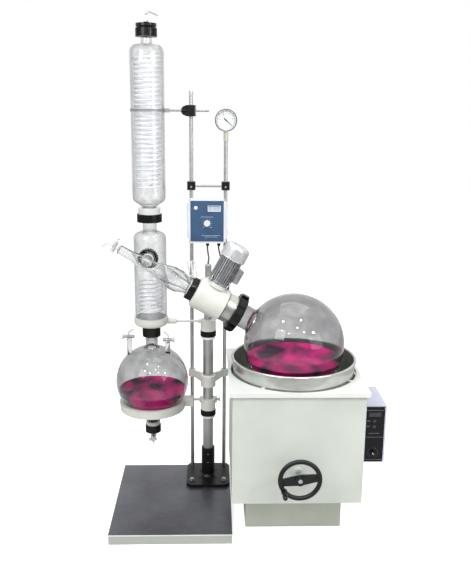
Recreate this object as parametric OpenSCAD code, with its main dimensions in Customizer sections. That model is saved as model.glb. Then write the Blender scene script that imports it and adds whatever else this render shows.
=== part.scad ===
// Rotary evaporator, 50 litre class, on a floor plate with a hand-raised heating bath beside it.
// Origin: axis of the main post on the floor. +X to the bath, +Y to the back, +Z up.

/* [Stand] */
// Width of the floor plate
plate_w = 540; // [480:5:600]
// Depth of the floor plate
plate_d = 640; // [560:5:720]
// Height of the floor plate
plate_h = 45; // [30:1:60]
// Distance from the left edge of the plate to the post axis
plate_left = 430; // [380:2:450]
// Distance from the back edge of the plate to the post axis
plate_back = 122; // [118:1:160]
// Width of the cast foot
foot_w = 210; // [196:2:230]
// Depth of the cast foot
foot_d = 225; // [216:2:230]
// Thickness of the cast foot
foot_t = 15; // [10:1:22]
// Height of the foot's sleeve
sleeve_h = 148; // [100:2:180]
// Outer diameter of the foot's sleeve
sleeve_d = 64; // [60:1:76]
// Diameter of the main post
post_d = 50; // [46:1:54]
// Height of the main post's top end above the floor
post_top = 850; // [830:2:858]
// Diameter of the inner post that carries the head
inner_post_d = 40; // [36:1:42]
// Height of the inner post's shoulder above the floor
inner_post_shoulder = 1045; // [1035:1:1060]
// Height of the inner post's top end above the floor
inner_post_top = 1134; // [1100:2:1160]
// Diameter of the two support rods
rod_d = 18; // [14:1:22]
// Distance of each rod from the middle plane
rod_x = 80; // [74:1:86]
// Distance of the rods behind the post axis
rod_y = 90; // [84:1:94]
// Height of the left rod's top end
left_rod_top = 1920; // [1880:5:1980]
// Height of the right rod's top end, where the gauge screws on
right_rod_top = 1699; // [1640:5:1760]

/* [Column] */
// Distance of the column axis to the left of the post
column_x = 270; // [258:1:280]
// Outer diameter of both condensers
condenser_d = 150; // [140:1:160]
// Wall of the glass
glass_t = 4; // [3:0.5:6]
// Outer diameter of the necks between the condensers
neck_d = 64; // [56:1:70]
// Height of the lower condenser's shoulder
lower_shoulder_z = 1281; // [1270:1:1290]
// Length of the upper condenser's straight glass
upper_body_h = 630; // [500:2:760]
// Diameter of the cooling coils' tube
coil_tube_d = 12; // [8:0.5:14]
// Outer diameter of the cooling coils
coil_d = 124; // [100:1:128]
// Rise of one turn of a coil
coil_pitch = 20; // [16:0.5:30]

/* [Receiver] */
// Diameter of the receiving flask
receiver_d = 346; // [330:1:360]
// Height of the receiving flask's centre
receiver_z = 560; // [550:1:570]
// Outer diameter of the receiving flask's neck
receiver_neck_d = 60; // [50:1:64]
// Outer diameter of the receiver's support ring
receiver_ring_d = 320; // [305:1:325]
// Height of the receiver's support ring
receiver_ring_h = 40; // [30:1:46]

/* [Head] */
// Distance of the rotating axis in front of the post axis
head_front = 220; // [205:1:225]
// Slope of the rotating axis
tilt = 29; // [27:0.5:31]
// Height of the rotating flask's centre
flask_z = 817; // [810:1:825]
// Diameter of the rotating flask
flask_d = 450; // [430:1:456]
// Outer diameter of the rotating flask's neck
flask_neck_d = 106; // [96:1:108]
// Outer diameter of the flask nut, over its lobes
flask_nut_d = 180; // [168:1:190]
// Outer diameter of the drive ring
drive_ring_d = 130; // [128:1:134]
// Outer diameter of the head housing
housing_d = 146; // [142:1:152]
// Length of the head housing
housing_l = 145; // [138:1:152]
// Outer diameter of the hollow drive shaft
shaft_d = 90; // [84:1:94]
// Bore of the hollow drive shaft
shaft_bore = 66; // [64:1:72]

/* [Motor] */
// Outer diameter of the motor over its fins
motor_d = 100; // [90:1:108]
// Length of the finned part of the motor
motor_l = 112; // [90:1:130]
// Number of cooling fins
fin_count = 28; // [16:2:36]
// Outer diameter of the fan cover
cover_d = 112; // [110:1:120]
// Length of the fan cover
cover_l = 66; // [50:1:70]

/* [Controller] */
// Width of the controller's front
controller_w = 172; // [166:1:180]
// Height of the controller
controller_h = 207; // [190:1:220]
// Depth of the controller
controller_d = 58; // [44:1:62]
// Height of the controller's underside above the floor
controller_z = 1229; // [1215:1:1250]
// Diameter of the speed knob
speed_knob_d = 26; // [18:1:34]

/* [Gauge] */
// Diameter of the vacuum gauge
gauge_d = 100; // [90:1:110]
// Depth of the gauge's case
gauge_t = 34; // [28:1:44]

/* [Bath] */
// Side of the square bath box
bath_w = 562; // [540:2:570]
// Overhang of the square lid past the box
lid_overhang = 14; // [8:1:16]
// Gap between the bath's lid and the right rod
bath_gap = 2; // [1:0.5:6]
// Thickness of the lid's folded edge
lid_t = 18; // [12:1:24]
// Height of the lid's top above the floor
lid_z = 695; // [690:1:700]
// Height of the plinth
plinth_h = 184; // [160:2:190]
// Width of the plinth
plinth_w = 430; // [380:2:460]
// Depth of the plinth
plinth_d = 330; // [300:2:380]
// Wall of the sheet metal
sheet_t = 3; // [2:0.5:4]
// Gap between the pot and the box's walls
pot_gap = 5; // [4:1:8]
// Height of the pot's rim above the floor, at rest
pot_rim_z = 760; // [752:1:766]
// Depth of the pot
pot_depth = 300; // [270:2:306]
// Gap between the pot and the edge of the lid's hole
lid_hole_gap = 10; // [9:0.5:12]
// Diameter of the lifting screw
screw_d = 24; // [20:1:28]
// Height of the handwheel's axis
wheel_z = 340; // [330:1:350]
// Outer diameter of the handwheel
wheel_d = 186; // [160:2:210]
// Diameter of the handwheel's rim section
wheel_rim_d = 20; // [14:1:24]
// Width of the control box
control_w = 102; // [90:1:116]
// Depth of the control box
control_d = 226; // [200:2:250]
// Height of the control box
control_h = 262; // [240:2:280]
// Height of the control box's underside
control_z = 346; // [330:2:360]

/* [Fits] */
// Radial clearance of shafts and sliding fits
fit = 0.1; // [0.05:0.01:0.1]
// Gap between pieces that rest on each other
seat = 0.3; // [0.2:0.05:0.4]

/* [Hidden] */

$fn = 64;

cream = "#e9ebe2";
black = "#1b1b1f";
steel = "#b9bcc0";
glass = "#cfdde3";
white = "#f2f3ef";

// Bath and flask stand beside the right rod
lid_w = bath_w + 2 * lid_overhang;
pot_d = bath_w - 2 * (sheet_t + pot_gap);
lid_hole_d = pot_d + 2 * lid_hole_gap;
flask_x = rod_x + rod_d / 2 + bath_gap + lid_w / 2;

// Stand
foot_z = plate_h;
foot_top = foot_z + foot_t;
sleeve_top = foot_top + sleeve_h;
foot_corner = 22;
foot_bolt_x = 78;
foot_bolt_y = foot_d / 2 - 47;
foot_bolt_hole_d = 14;
post_bore = inner_post_d + 2 * fit;
inner_post_overlap = 220;
inner_post_bottom = post_top - inner_post_overlap;
inner_post_tip_d = 30;
rod_seat = foot_top - 9;
top_collar_h = 54;
top_collar_d = 73;
lower_collar_z = 410;
lower_collar_h = 56;
lower_collar_d = 71;
band_h = 28;
band_d = 75;
ring_h = 12;
ring_d = 66;
bracket_z = 531;
bracket_h = 54;
bracket_d = 73;
rod_boss_d = 36;
rod_boss_h = 34;
bracket_arm_z = bracket_z + 35;
cross_z = 1490;
cross_clamp_w = 38;
cross_bar_d = 11;
clamp_z = 1830;
clamp_w = 46;
clamp_rod_d = 9;
clamp_offset = rod_d / 2 + clamp_rod_d / 2 + 4;
clamp_heading = atan2(rod_y - clamp_offset, column_x - rod_x);
clamp_reach = sqrt(pow(rod_y - clamp_offset, 2) + pow(column_x - rod_x, 2));

// Column
cx = -column_x;
condenser_r = condenser_d / 2;
neck_r = neck_d / 2;
flange_r = neck_r + 13;
flange_t = 10;
mid_nut_z = lower_shoulder_z + 51;
mid_nut_h = 37;
mid_nut_d = 114;
gasket_h = 28;
gasket_d = 101;
lower_neck_top = mid_nut_z + 24;
upper_bottom_z = mid_nut_z + mid_nut_h + gasket_h + 48;
upper_top_z = upper_bottom_z + upper_body_h;
top_neck_r = 24;
top_flange_r = 34;
top_nut_z = upper_top_z + 64;
top_nut_h = 36;
top_nut_d = 94;
top_neck_top = top_nut_z + 22;
top_disc_z = top_nut_z + top_nut_h + 3;
top_disc_h = 16;
top_disc_d = 91;
vent_z = top_disc_z + top_disc_h;
vent_barrel_z = vent_z + 17;
barrel_r = 9;
key_r = 5;
port_z = flask_z + (flask_x + column_x) * tan(tilt);
port_r = 26;
port_flange_r = 36;
port_nut_d = 92;
port_nut_l = 36;
port_nut_y = -(condenser_r + 34);
coil_r = (coil_d - coil_tube_d) / 2;
upper_coil_z = upper_bottom_z + 38;
upper_turns = floor((upper_body_h - 50) / coil_pitch);
nozzle_d = 16;
nozzle_l = 34;

// Receiver and the cap above it
receiver_r = receiver_d / 2;
receiver_neck_r = receiver_neck_d / 2;
receiver_neck_top = receiver_z + receiver_r + 62;
cap_z = receiver_neck_top - 10;
cap_h = 50;
cap_d = 86;
outlet_r = receiver_neck_r - glass_t - 1.5;
column_ring_z = cap_z + cap_h + 2;
column_ring_h = 44;
column_ring_d = condenser_d + 12;
lower_bottom_z = column_ring_z + 8;
lower_body_z = lower_bottom_z + 44;
lower_coil_z = lower_body_z + 16;
lower_coil_clear = 85;
lower_turns = floor((port_z - port_r - lower_coil_clear - lower_coil_z) / coil_pitch);
column_arm_z = column_ring_z + 20;
column_arm_d = 11;
top_collar_z = column_arm_z - 44;
receiver_ring_z = receiver_z - 140;
ring_arm_z = receiver_ring_z + receiver_ring_h / 2;
ring_arm_d = 14;
side_neck_r = 12;
side_valve_z = 780;
left_neck_x = -106;
left_neck_y = 0;
right_neck_x = 78;
right_neck_y = -34;
drain_r = 22;
drain_nut_z = 293;
drain_nut_h = 37;
drain_nut_d = 76;
drain_collar_h = 18;
drain_barrel_z = 262;

// Head: distances along the rotating axis are counted from the flask's centre up to the left
ay = -head_front;
flask_r = flask_d / 2;
flask_neck_r = flask_neck_d / 2;
nut_s = flask_r + 51;
nut_l = 42;
neck_end_s = nut_s + 30;
ring_s = nut_s + nut_l + 2;
drive_ring_l = 38;
housing_s = ring_s + drive_ring_l + 3;
housing_end_s = housing_s + housing_l;
wall_s = 12;
shaft_r = shaft_d / 2;
motor_s = housing_s + housing_l / 2;
motor_boss_k = 80;
motor_k = motor_boss_k + 12;
cover_k = motor_k + motor_l;
pinion_r = 16;
pinion_tip_k = shaft_r + 3;
pinion_face = 12;
crown_s = motor_s + pinion_r + 0.5;
crown_r = 60;
crown_t = 14;
crown_teeth = 54;
motor_shaft_d = 16;
spigot_l = 14;
duct_flange_r = 44;
duct_nut_l = 30;
duct_nut_d = 105;
duct_s = housing_end_s + spigot_l;
duct_tube_r = shaft_bore / 2 - 3.5;
duct_r = 50;
feed_arm_l = 123;
duct_end_s = (flask_x + column_x + feed_arm_l) / cos(tilt);
port_s = (flask_x + column_x) / cos(tilt);
crossing_r = 27;
tail_r = 21;
feed_s = duct_end_s + 12;

// Controller
controller_y = rod_y - rod_d / 2 - 6 - controller_d;
controller_x = -6;
panel_t = 2;
panel_inset = 9;
gland_x = [-4, 49];
gland_y = controller_y + controller_d / 2;
gland_d = 22;
gland_h = 16;
lead_d = 8;

// Gauge
gauge_socket_h = 40;
gauge_z = right_rod_top + gauge_socket_h + gauge_d / 2;

// Bath
bath_x = flask_x;
bath_front = ay - bath_w / 2;
pot_r = pot_d / 2;
pot_t = 3;
pot_rim_r = 6;
pot_bottom_z = pot_rim_z - pot_depth;
platform_t = 12;
platform_z = pot_bottom_z - platform_t;
corner_x = bath_w / 2 - 38;
guide_d = 20;
guide_top = lid_z - lid_t - sheet_t;
pinion_wheel_r = 25;
crown_gear_z = wheel_z - pinion_wheel_r - 0.5;
crown_gear_r = 62;
crown_gear_t = 16;
crown_hub_d = 46;
crown_hub_h = 24;
bearer_t = 22;
bearer_z = crown_gear_z - crown_gear_t - crown_hub_h - seat - bearer_t;
screw_end_z = 96;
wheel_shaft_d = 20;
wheel_y = bath_front - 84;
bearing_l = 30;
grip_angle = 218;
grip_d = 22;
grip_l = 52;
control_x = bath_x + bath_w / 2;
control_y = bath_front + 61;
bath_knob_z = control_z + 46;
bath_knob_d = 26;
button_z = control_z + 168;
button_gap = 26;
button_w = 12;

// Outline of a wheel with n wide teeth, as points
function tooth_points(n, root_r, tip_r, share) = [
    for (i = [0 : n - 1], j = [0 : 3])
        let (step = 360 / n,
             a = step * (i + [-0.5 + share / 2, -share / 2 * 0.8, share / 2 * 0.8, 0.5 - share / 2][j]),
             r = [root_r, tip_r, tip_r, root_r][j])
        [r * cos(a), r * sin(a)]];

// Points of an arc from angle a to angle b
function arc(x, y, r, a, b, n) = [for (i = [0 : n]) [x + r * cos(a + (b - a) * i / n),
    y + r * sin(a + (b - a) * i / n)]];

module rod_z(d, h) {
    cylinder(d = d, h = h);
}

module tube_z(outer_d, inner_d, h) {
    difference() {
        cylinder(d = outer_d, h = h);
        translate([0, 0, -1]) cylinder(d = inner_d, h = h + 2);
    }
}

// A piece on the rotating axis: its z runs up to the left, its x up to the right
module on_axis(s = 0) {
    translate([flask_x, ay, flask_z])
        rotate([0, tilt - 90, 0])
            translate([0, 0, s])
                children();
}

// A piece on the motor's axis: its z runs away from the housing
module on_motor(k = 0) {
    on_axis(motor_s) rotate([0, 90, 0]) translate([0, 0, k]) children();
}

module at_column(z = 0) {
    translate([cx, 0, z]) children();
}

// A revolved hollow glass wall from a list of [radius, height] points
module glass_wall(points, top_open = true, bottom_open = true) {
    last = len(points) - 1;
    low = points[0][1];
    high = points[last][1];
    difference() {
        rotate_extrude() polygon(concat([[0, low]], points, [[0, high]]));
        rotate_extrude() polygon(concat(
            [[0, bottom_open ? low - 1 : low + glass_t]],
            [[points[0][0] - glass_t, bottom_open ? low - 1 : low + glass_t]],
            [for (i = [1 : last - 1]) [points[i][0] - glass_t, points[i][1]]],
            [[points[last][0] - glass_t, top_open ? high + 1 : high - glass_t]],
            [[0, top_open ? high + 1 : high - glass_t]]));
    }
}

// A black screw cap round a neck: a lip at its foot, a wide bore above
module coupling_nut(outer_d, h, lip_r, bore_r, lobes) {
    difference() {
        linear_extrude(height = h) polygon(tooth_points(lobes, outer_d / 2 - 2.5, outer_d / 2, 0.5));
        translate([0, 0, -1]) cylinder(r = lip_r, h = h + 2);
        translate([0, 0, 8]) cylinder(r = bore_r, h = h);
    }
}

// Swept helical tube
module helix_tube(r, tube_r, pitch, turns, sides, steps) {
    n = turns * steps;
    ring = [for (i = [0 : n], j = [0 : sides - 1])
        let (a = 90 + 360 * i / steps, b = 360 * j / sides, q = r + tube_r * cos(b))
        [q * cos(a), q * sin(a), pitch * i / steps + tube_r * sin(b)]];
    sides_list = [for (i = [0 : n - 1], j = [0 : sides - 1])
        let (a = i * sides + j, b = i * sides + (j + 1) % sides)
        [a, b, b + sides, a + sides]];
    polyhedron(ring, concat(sides_list,
        [[for (j = [sides - 1 : -1 : 0]) j]],
        [[for (j = [0 : sides - 1]) n * sides + j]]), convexity = 10);
}

// The plug of a stopcock, along x, with a disc handle at its far end
module stopcock_key(barrel_l, handle_d) {
    rotate([0, 90, 0]) {
        translate([0, 0, -barrel_l / 2 - 4]) cylinder(r = key_r - fit, h = barrel_l + 10);
        translate([0, 0, barrel_l / 2 + seat]) cylinder(r = barrel_r, h = 4);
        translate([0, 0, barrel_l / 2 + 6]) cylinder(d = handle_d, h = 7);
        translate([0, 0, -barrel_l / 2 - 4 - seat]) cylinder(r = key_r + 2.5, h = 4);
    }
}

// A bar handle across the end of a plug, along x
module bar_key(barrel_l, bar_l, reach) {
    rotate([0, 90, 0]) {
        translate([0, 0, -barrel_l / 2 - 4]) cylinder(r = key_r - fit, h = barrel_l + reach);
        translate([0, 0, -barrel_l / 2 - 8 - seat]) cylinder(r = key_r + 4, h = 8);
        translate([0, 0, barrel_l / 2 + seat]) cylinder(r = barrel_r - 1, h = 4);
        translate([0, bar_l / 2, barrel_l / 2 + reach - 6]) rotate([90, 0, 0]) cylinder(d = 10, h = bar_l);
    }
}

module stopcock_barrel(barrel_l) {
    rotate([0, 90, 0]) translate([0, 0, -barrel_l / 2]) cylinder(r = barrel_r, h = barrel_l);
}

module stopcock_bore(barrel_l) {
    rotate([0, 90, 0]) translate([0, 0, -barrel_l / 2 - 1]) cylinder(r = key_r, h = barrel_l + 2);
}

// A bent glass arm: a straight run along z, a bend towards +x and a straight tail
module bent_arm(tube_r, straight, bend_r, angle, tail) {
    n = 6;
    bend = [for (i = [0 : n]) let (a = angle * i / n) [bend_r * (1 - cos(a)), 0,
        straight + bend_r * sin(a)]];
    tip = bend[n] + tail * [sin(angle), 0, cos(angle)];
    sweep(concat([[0, 0, 0]], bend, [tip]), 2 * tube_r, 10);
}

// ---- Stand ----

module base_plate() {
    color("#6b6d75") difference() {
        union() {
            translate([-plate_left + 2, plate_back - plate_d + 2, 0])
                cube([plate_w - 4, plate_d - 4, plate_h - 4]);
            translate([-plate_left, plate_back - plate_d, plate_h - 4]) cube([plate_w, plate_d, 4]);
        }
        translate([-plate_left + 2 + sheet_t, plate_back - plate_d + 2 + sheet_t, sheet_t])
            cube([plate_w - 4 - 2 * sheet_t, plate_d - 4 - 2 * sheet_t, plate_h - 2 * sheet_t]);
    }
}

module foot_outline() {
    w = foot_w / 2;
    d = foot_d / 2;
    c = foot_corner;
    polygon([[-w + c, -d], [w - c, -d], [w, -d + c], [w, d - c], [w - c / 2, d], [-w + c / 2, d],
        [-w, d - c], [-w, -d + c]]);
}

module post_foot() {
    color(black) difference() {
        union() {
            translate([0, 0, foot_z]) linear_extrude(height = foot_t) foot_outline();
            translate([0, 0, foot_top]) cylinder(d1 = sleeve_d + 16, d2 = sleeve_d, h = 10);
            translate([0, 0, foot_top]) cylinder(d = sleeve_d, h = sleeve_h);
            for (a = [45 : 90 : 315]) rotate([0, 0, a]) translate([sleeve_d / 2 - 4, -4, foot_top])
                rotate([90, 0, 90]) linear_extrude(height = 34) polygon([[0, 0], [8, 0], [8, 2], [0, 2]]);
        }
        translate([0, 0, foot_z - 1]) cylinder(d = post_d + 2 * fit, h = foot_t + sleeve_h + 2);
        for (x = [-foot_bolt_x, foot_bolt_x]) translate([x, -foot_bolt_y, foot_z - 1])
            cylinder(d = foot_bolt_hole_d, h = foot_t + 2);
        for (x = [-rod_x, rod_x]) translate([x, rod_y, rod_seat]) cylinder(d = rod_d + 2 * fit, h = foot_t);
    }
}

module foot_bolts() {
    color(steel) {
        for (x = [-foot_bolt_x, foot_bolt_x]) translate([x, -foot_bolt_y, 0]) {
            translate([0, 0, foot_z + seat]) cylinder(d = foot_bolt_hole_d - 2 * fit, h = foot_t);
            translate([0, 0, foot_top + seat]) cylinder(d = 24, h = 2.5);
            translate([0, 0, foot_top + 2.5]) cylinder(d = 21, h = 8, $fn = 6);
        }
        for (z = [sleeve_top - 26, sleeve_top - 70]) translate([0, -sleeve_d / 2 - seat, z])
            rotate([90, 0, 0]) cylinder(d = 8, h = 4);
    }
}

module main_post() {
    color(steel) translate([0, 0, foot_z]) tube_z(post_d, post_bore, post_top - foot_z);
}

module inner_post() {
    color(steel) {
        translate([0, 0, inner_post_bottom])
            cylinder(d = inner_post_d, h = inner_post_shoulder - inner_post_bottom);
        translate([0, 0, inner_post_shoulder])
            cylinder(d = inner_post_tip_d, h = inner_post_top - inner_post_shoulder - 4);
        translate([0, 0, inner_post_top - 4])
            cylinder(d1 = inner_post_tip_d, d2 = inner_post_tip_d - 8, h = 4);
    }
}

module top_collar() {
    color(cream) difference() {
        union() {
            translate([0, 0, top_collar_z]) cylinder(d = top_collar_d, h = top_collar_h - 3);
            translate([0, 0, top_collar_z + top_collar_h - 3])
                cylinder(d1 = top_collar_d, d2 = top_collar_d - 6, h = 3);
            translate([-top_collar_d / 2 - 10, 0, column_arm_z]) rotate([0, 90, 0])
                cylinder(d = column_arm_d + 8, h = 20);
            translate([0, -top_collar_d / 2 + 2, top_collar_z + 26]) rotate([90, 0, 0])
                cylinder(d = 7, h = 5);
        }
        translate([0, 0, top_collar_z - 1])
            cylinder(d = post_d + 2 * fit, h = post_top - top_collar_z + 1 + seat);
        translate([0, 0, top_collar_z]) cylinder(d = inner_post_d + 2 * fit, h = top_collar_h + 1);
        translate([-top_collar_d / 2 - 11, 0, column_arm_z]) rotate([0, 90, 0])
            cylinder(d = column_arm_d + 2 * fit, h = 19);
    }
}

module lower_collar() {
    color(cream) difference() {
        union() {
            translate([0, 0, lower_collar_z]) cylinder(d = lower_collar_d, h = lower_collar_h);
            translate([0, -lower_collar_d / 2 + 2, lower_collar_z + 18]) rotate([90, 0, 0])
                cylinder(d = 7, h = 5);
            translate([-lower_collar_d / 2 - 8, post_d / 2 + ring_arm_d / 2 + 3, ring_arm_z - 14])
                cube([lower_collar_d + 16, ring_arm_d + 8, 28]);
        }
        translate([0, 0, lower_collar_z - 1]) cylinder(d = post_d + 2 * fit, h = lower_collar_h + 2);
        translate([-lower_collar_d, post_d / 2 + ring_arm_d + 7, ring_arm_z]) rotate([0, 90, 0])
            cylinder(d = ring_arm_d + 2 * fit, h = 2 * lower_collar_d);
    }
}

module collar_rings() {
    for (z = [top_collar_z, lower_collar_z]) {
        color(black) translate([0, 0, z - band_h]) difference() {
            linear_extrude(height = band_h) polygon(tooth_points(40, band_d / 2 - 1, band_d / 2, 0.5));
            translate([0, 0, -1]) cylinder(d = post_d + 2 * fit, h = band_h + 2);
        }
        color(white) translate([0, 0, z - band_h - ring_h]) tube_z(ring_d, post_d + 2 * fit, ring_h);
    }
}

module rod_bracket() {
    arm = sqrt(rod_x * rod_x + rod_y * rod_y);
    heading = atan2(rod_y, rod_x);
    color(cream) difference() {
        union() {
            translate([0, 0, bracket_z]) cylinder(d = bracket_d, h = bracket_h);
            translate([0, 0, bracket_z + bracket_h]) cylinder(d1 = bracket_d, d2 = bracket_d - 10, h = 4);
            for (side = [0, 1]) mirror([side, 0, 0]) rotate([0, 0, heading]) {
                translate([bracket_d / 2 - 8, 0, bracket_arm_z]) rotate([90, 0, 0]) translate([0, 0, -7])
                    linear_extrude(height = 14)
                    polygon([[0, -30], [arm - bracket_d / 2, -rod_boss_h / 2 + 2],
                        [arm - bracket_d / 2, rod_boss_h / 2 - 2], [0, 19]]);
                translate([arm, 0, bracket_arm_z - rod_boss_h / 2])
                    cylinder(d = rod_boss_d, h = rod_boss_h);
            }
            translate([0, -bracket_d / 2 + 2, bracket_z + bracket_h / 2]) rotate([90, 0, 0])
                cylinder(d = 7, h = 5);
        }
        translate([0, 0, bracket_z - 1]) cylinder(d = post_d + 2 * fit, h = bracket_h + 6);
        for (x = [-rod_x, rod_x]) translate([x, rod_y, bracket_z - 1])
            cylinder(d = rod_d + 2 * fit, h = bracket_h + 2);
    }
}

module left_rod() {
    color(steel) translate([-rod_x, rod_y, rod_seat]) {
        rod_z(rod_d, left_rod_top - rod_seat - 3);
        translate([0, 0, left_rod_top - rod_seat - 3]) cylinder(d1 = rod_d, d2 = rod_d - 6, h = 3);
    }
}

module right_rod() {
    color(steel) translate([rod_x, rod_y, rod_seat]) tube_z(rod_d, rod_d - 5, right_rod_top - rod_seat);
}

module clamp_block(w, h) {
    translate([-w / 2, -w / 2, -h / 2]) linear_extrude(height = h) polygon([
        [3, 0], [w - 3, 0], [w, 3], [w, w - 3], [w - 3, w], [3, w], [0, w - 3], [0, 3]]);
}

module cross_clamps() {
    bar_y = rod_y - rod_d / 2 - cross_bar_d / 2 - 2;
    w = cross_clamp_w;
    for (x = [-rod_x, rod_x]) {
        color(black) difference() {
            translate([x, rod_y - 5, cross_z]) clamp_block(w, w);
            translate([x, rod_y, cross_z - w]) cylinder(d = rod_d + 2 * fit, h = 2 * w);
            translate([x - w, bar_y, cross_z]) rotate([0, 90, 0])
                cylinder(d = cross_bar_d + 2 * fit, h = 2 * w);
        }
        color(steel) translate([x, rod_y - 5 - w / 2, cross_z - 4]) rotate([90, 0, 0])
            cylinder(d = 10, h = 4, $fn = 6);
    }
    color(steel) translate([-rod_x - w / 2 + 2, bar_y, cross_z]) rotate([0, 90, 0])
        cylinder(d = cross_bar_d, h = 2 * rod_x + w - 4);
}

module condenser_clamp() {
    color(black) difference() {
        union() {
            translate([-rod_x, rod_y - 6, clamp_z]) clamp_block(clamp_w, 50);
            translate([-rod_x - clamp_w / 2, rod_y - 6, clamp_z]) rotate([90, 0, 0])
                translate([0, 0, -clamp_w / 2 + 3]) cylinder(d = 44, h = clamp_w - 6);
        }
        translate([-rod_x, rod_y, clamp_z - 40]) cylinder(d = rod_d + 2 * fit, h = 80);
        at_column(clamp_z) rotate([0, 0, clamp_heading]) rotate([0, 90, 0])
            cylinder(d = clamp_rod_d + 2 * fit, h = clamp_reach + 100);
    }
    color(steel) {
        translate([-rod_x, rod_y - 6 - clamp_w / 2, clamp_z - 4]) rotate([90, 0, 0])
            cylinder(d = 11, h = 4, $fn = 6);
        at_column(clamp_z) rotate([0, 0, clamp_heading])
            translate([condenser_r + 12, 0, 0]) rotate([0, 90, 0])
                cylinder(d = clamp_rod_d, h = clamp_reach - condenser_r + 74);
    }
    color("#5d6066") at_column(clamp_z) {
        translate([0, 0, -6]) tube_z(condenser_d + 5, condenser_d + 2 * fit, 12);
        rotate([0, 0, clamp_heading]) translate([condenser_r + 2, -8, -9]) cube([24, 16, 18]);
    }
}

// ---- Gauge ----

module gauge_case() {
    r = gauge_d / 2;
    color("#33353a") difference() {
        translate([rod_x, rod_y + gauge_t / 2, gauge_z]) rotate([90, 0, 0]) union() {
            cylinder(r = r - 2, h = gauge_t);
            translate([0, 0, gauge_t - 12]) cylinder(r = r, h = 12);
            cylinder(r = r - 12, h = gauge_t / 2);
        }
        translate([rod_x, rod_y - gauge_t / 2 + 9, gauge_z]) rotate([90, 0, 0]) cylinder(r = r - 5, h = 12);
    }
    color("#b9ad86") {
        difference() {
            translate([rod_x, rod_y, right_rod_top]) cylinder(d = rod_d + 4, h = gauge_socket_h + 1);
            translate([rod_x, rod_y + gauge_t / 2 + 1, gauge_z]) rotate([90, 0, 0])
                cylinder(r = r - 2, h = gauge_t + 2);
        }
        translate([rod_x, rod_y, right_rod_top - 4]) tube_z(rod_d + 6, rod_d + 2 * fit, 4);
    }
}

module gauge_dial() {
    color(white) translate([rod_x, rod_y - gauge_t / 2 + 9, gauge_z]) rotate([90, 0, 0]) {
        cylinder(r = gauge_d / 2 - 5 - fit, h = 2);
        cylinder(d = 3, h = 5);
    }
}

module gauge_needle() {
    color(black) translate([rod_x, rod_y - gauge_t / 2 + 7 - seat, gauge_z]) rotate([90, 42, 0])
        difference() {
        union() {
            linear_extrude(height = 1) polygon([[-12, -3], [-12, 3], [0, 2], [gauge_d / 2 - 14, 0.5],
                [gauge_d / 2 - 14, -0.5], [0, -2]]);
            cylinder(d = 8, h = 1.6);
        }
        translate([0, 0, -1]) cylinder(d = 3 + 2 * fit, h = 4);
    }
}

// ---- Controller ----

module round_rect(w, h, r) {
    polygon(concat(arc(w / 2 - r, h / 2 - r, r, 0, 90, 6), arc(-w / 2 + r, h / 2 - r, r, 90, 180, 6),
                   arc(-w / 2 + r, -h / 2 + r, r, 180, 270, 6),
                       arc(w / 2 - r, -h / 2 + r, r, 270, 360, 6)));
}

module controller_case() {
    mid_z = controller_z + controller_h / 2;
    front = controller_y + panel_t;
    color(white) difference() {
        union() {
            translate([controller_x, front + 12, mid_z]) rotate([90, 0, 0]) linear_extrude(height = 12)
                round_rect(controller_w, controller_h, 10);
            translate([controller_x, controller_y + controller_d, mid_z]) rotate([90, 0, 0])
                linear_extrude(height = controller_d - 10)
                    round_rect(controller_w + 22, controller_h - 30, 22);
            translate([controller_x, controller_y + controller_d - 6, mid_z]) rotate([90, 0, 0])
                linear_extrude(height = controller_d - 20)
                    round_rect(controller_w - 8, controller_h - 2, 8);
            for (x = [-rod_x, rod_x], z = [mid_z - 60, mid_z + 60])
                translate([x - 14, controller_y + controller_d, z - 12])
                cube([28, rod_y - controller_y - controller_d + rod_d / 2, 24]);
        }
        for (x = [-rod_x, rod_x]) translate([x, rod_y, controller_z - 1])
            cylinder(d = rod_d + 2 * fit, h = controller_h + 2);
    }
}

module controller_panel() {
    mid_z = controller_z + controller_h / 2;
    w = controller_w - 2 * panel_inset;
    h = controller_h - 2 * panel_inset;
    color("#45597c") difference() {
        translate([controller_x, controller_y + panel_t, mid_z]) rotate([90, 0, 0])
            linear_extrude(height = panel_t) round_rect(w, h, 3);
        translate([controller_x, controller_y + panel_t + 1, mid_z - 10]) rotate([90, 0, 0])
            cylinder(d = 7, h = panel_t + 2);
    }
    color(white) translate([controller_x + w / 2 - 74, controller_y - 2, mid_z + h / 2 - 50])
        cube([60, 2, 27]);
    color(steel) translate([controller_x, controller_y + panel_t, mid_z - 10]) rotate([90, 0, 0])
        cylinder(d = 6, h = 14);
}

module speed_knob() {
    mid_z = controller_z + controller_h / 2;
    color("#dfe3ea") translate([controller_x, controller_y - seat, mid_z - 10]) rotate([90, 0, 0])
        difference() {
        union() {
            cylinder(d = speed_knob_d + 4, h = 3);
            cylinder(d1 = speed_knob_d, d2 = speed_knob_d - 3, h = 16);
            translate([-1, 0, 15]) cube([2, speed_knob_d / 2 - 2, 2]);
        }
        translate([0, 0, -1]) cylinder(d = 6 + 2 * fit, h = 14);
    }
}

module cable_glands() {
    color(black) for (x = gland_x) translate([x, gland_y, controller_z]) {
        translate([0, 0, -4]) cylinder(d = gland_d, h = 5, $fn = 6);
        translate([0, 0, -gland_h]) cylinder(d1 = lead_d + 6, d2 = gland_d - 3, h = gland_h - 4);
    }
}

// A smooth run of points through chosen ones
function blend(p, i, t) =
    let (n = len(p) - 1, a = p[max(i - 1, 0)], b = p[i], c = p[i + 1], d = p[min(i + 2, n)])
    0.5 * ((2 * b) + (c - a) * t + (2 * a - 5 * b + 4 * c - d) * t * t + (3 * b - a - 3 * c + d) * t * t * t);
function route(p, steps) = concat([for (i = [0 : len(p) - 2], k = [0 : steps - 1])
    blend(p, i, k / steps)], [p[len(p) - 1]]);
function unit(v) = v / norm(v);
function heading(q, i) = unit(q[min(i + 1, len(q) - 1)] - q[max(i - 1, 0)]);

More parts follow.
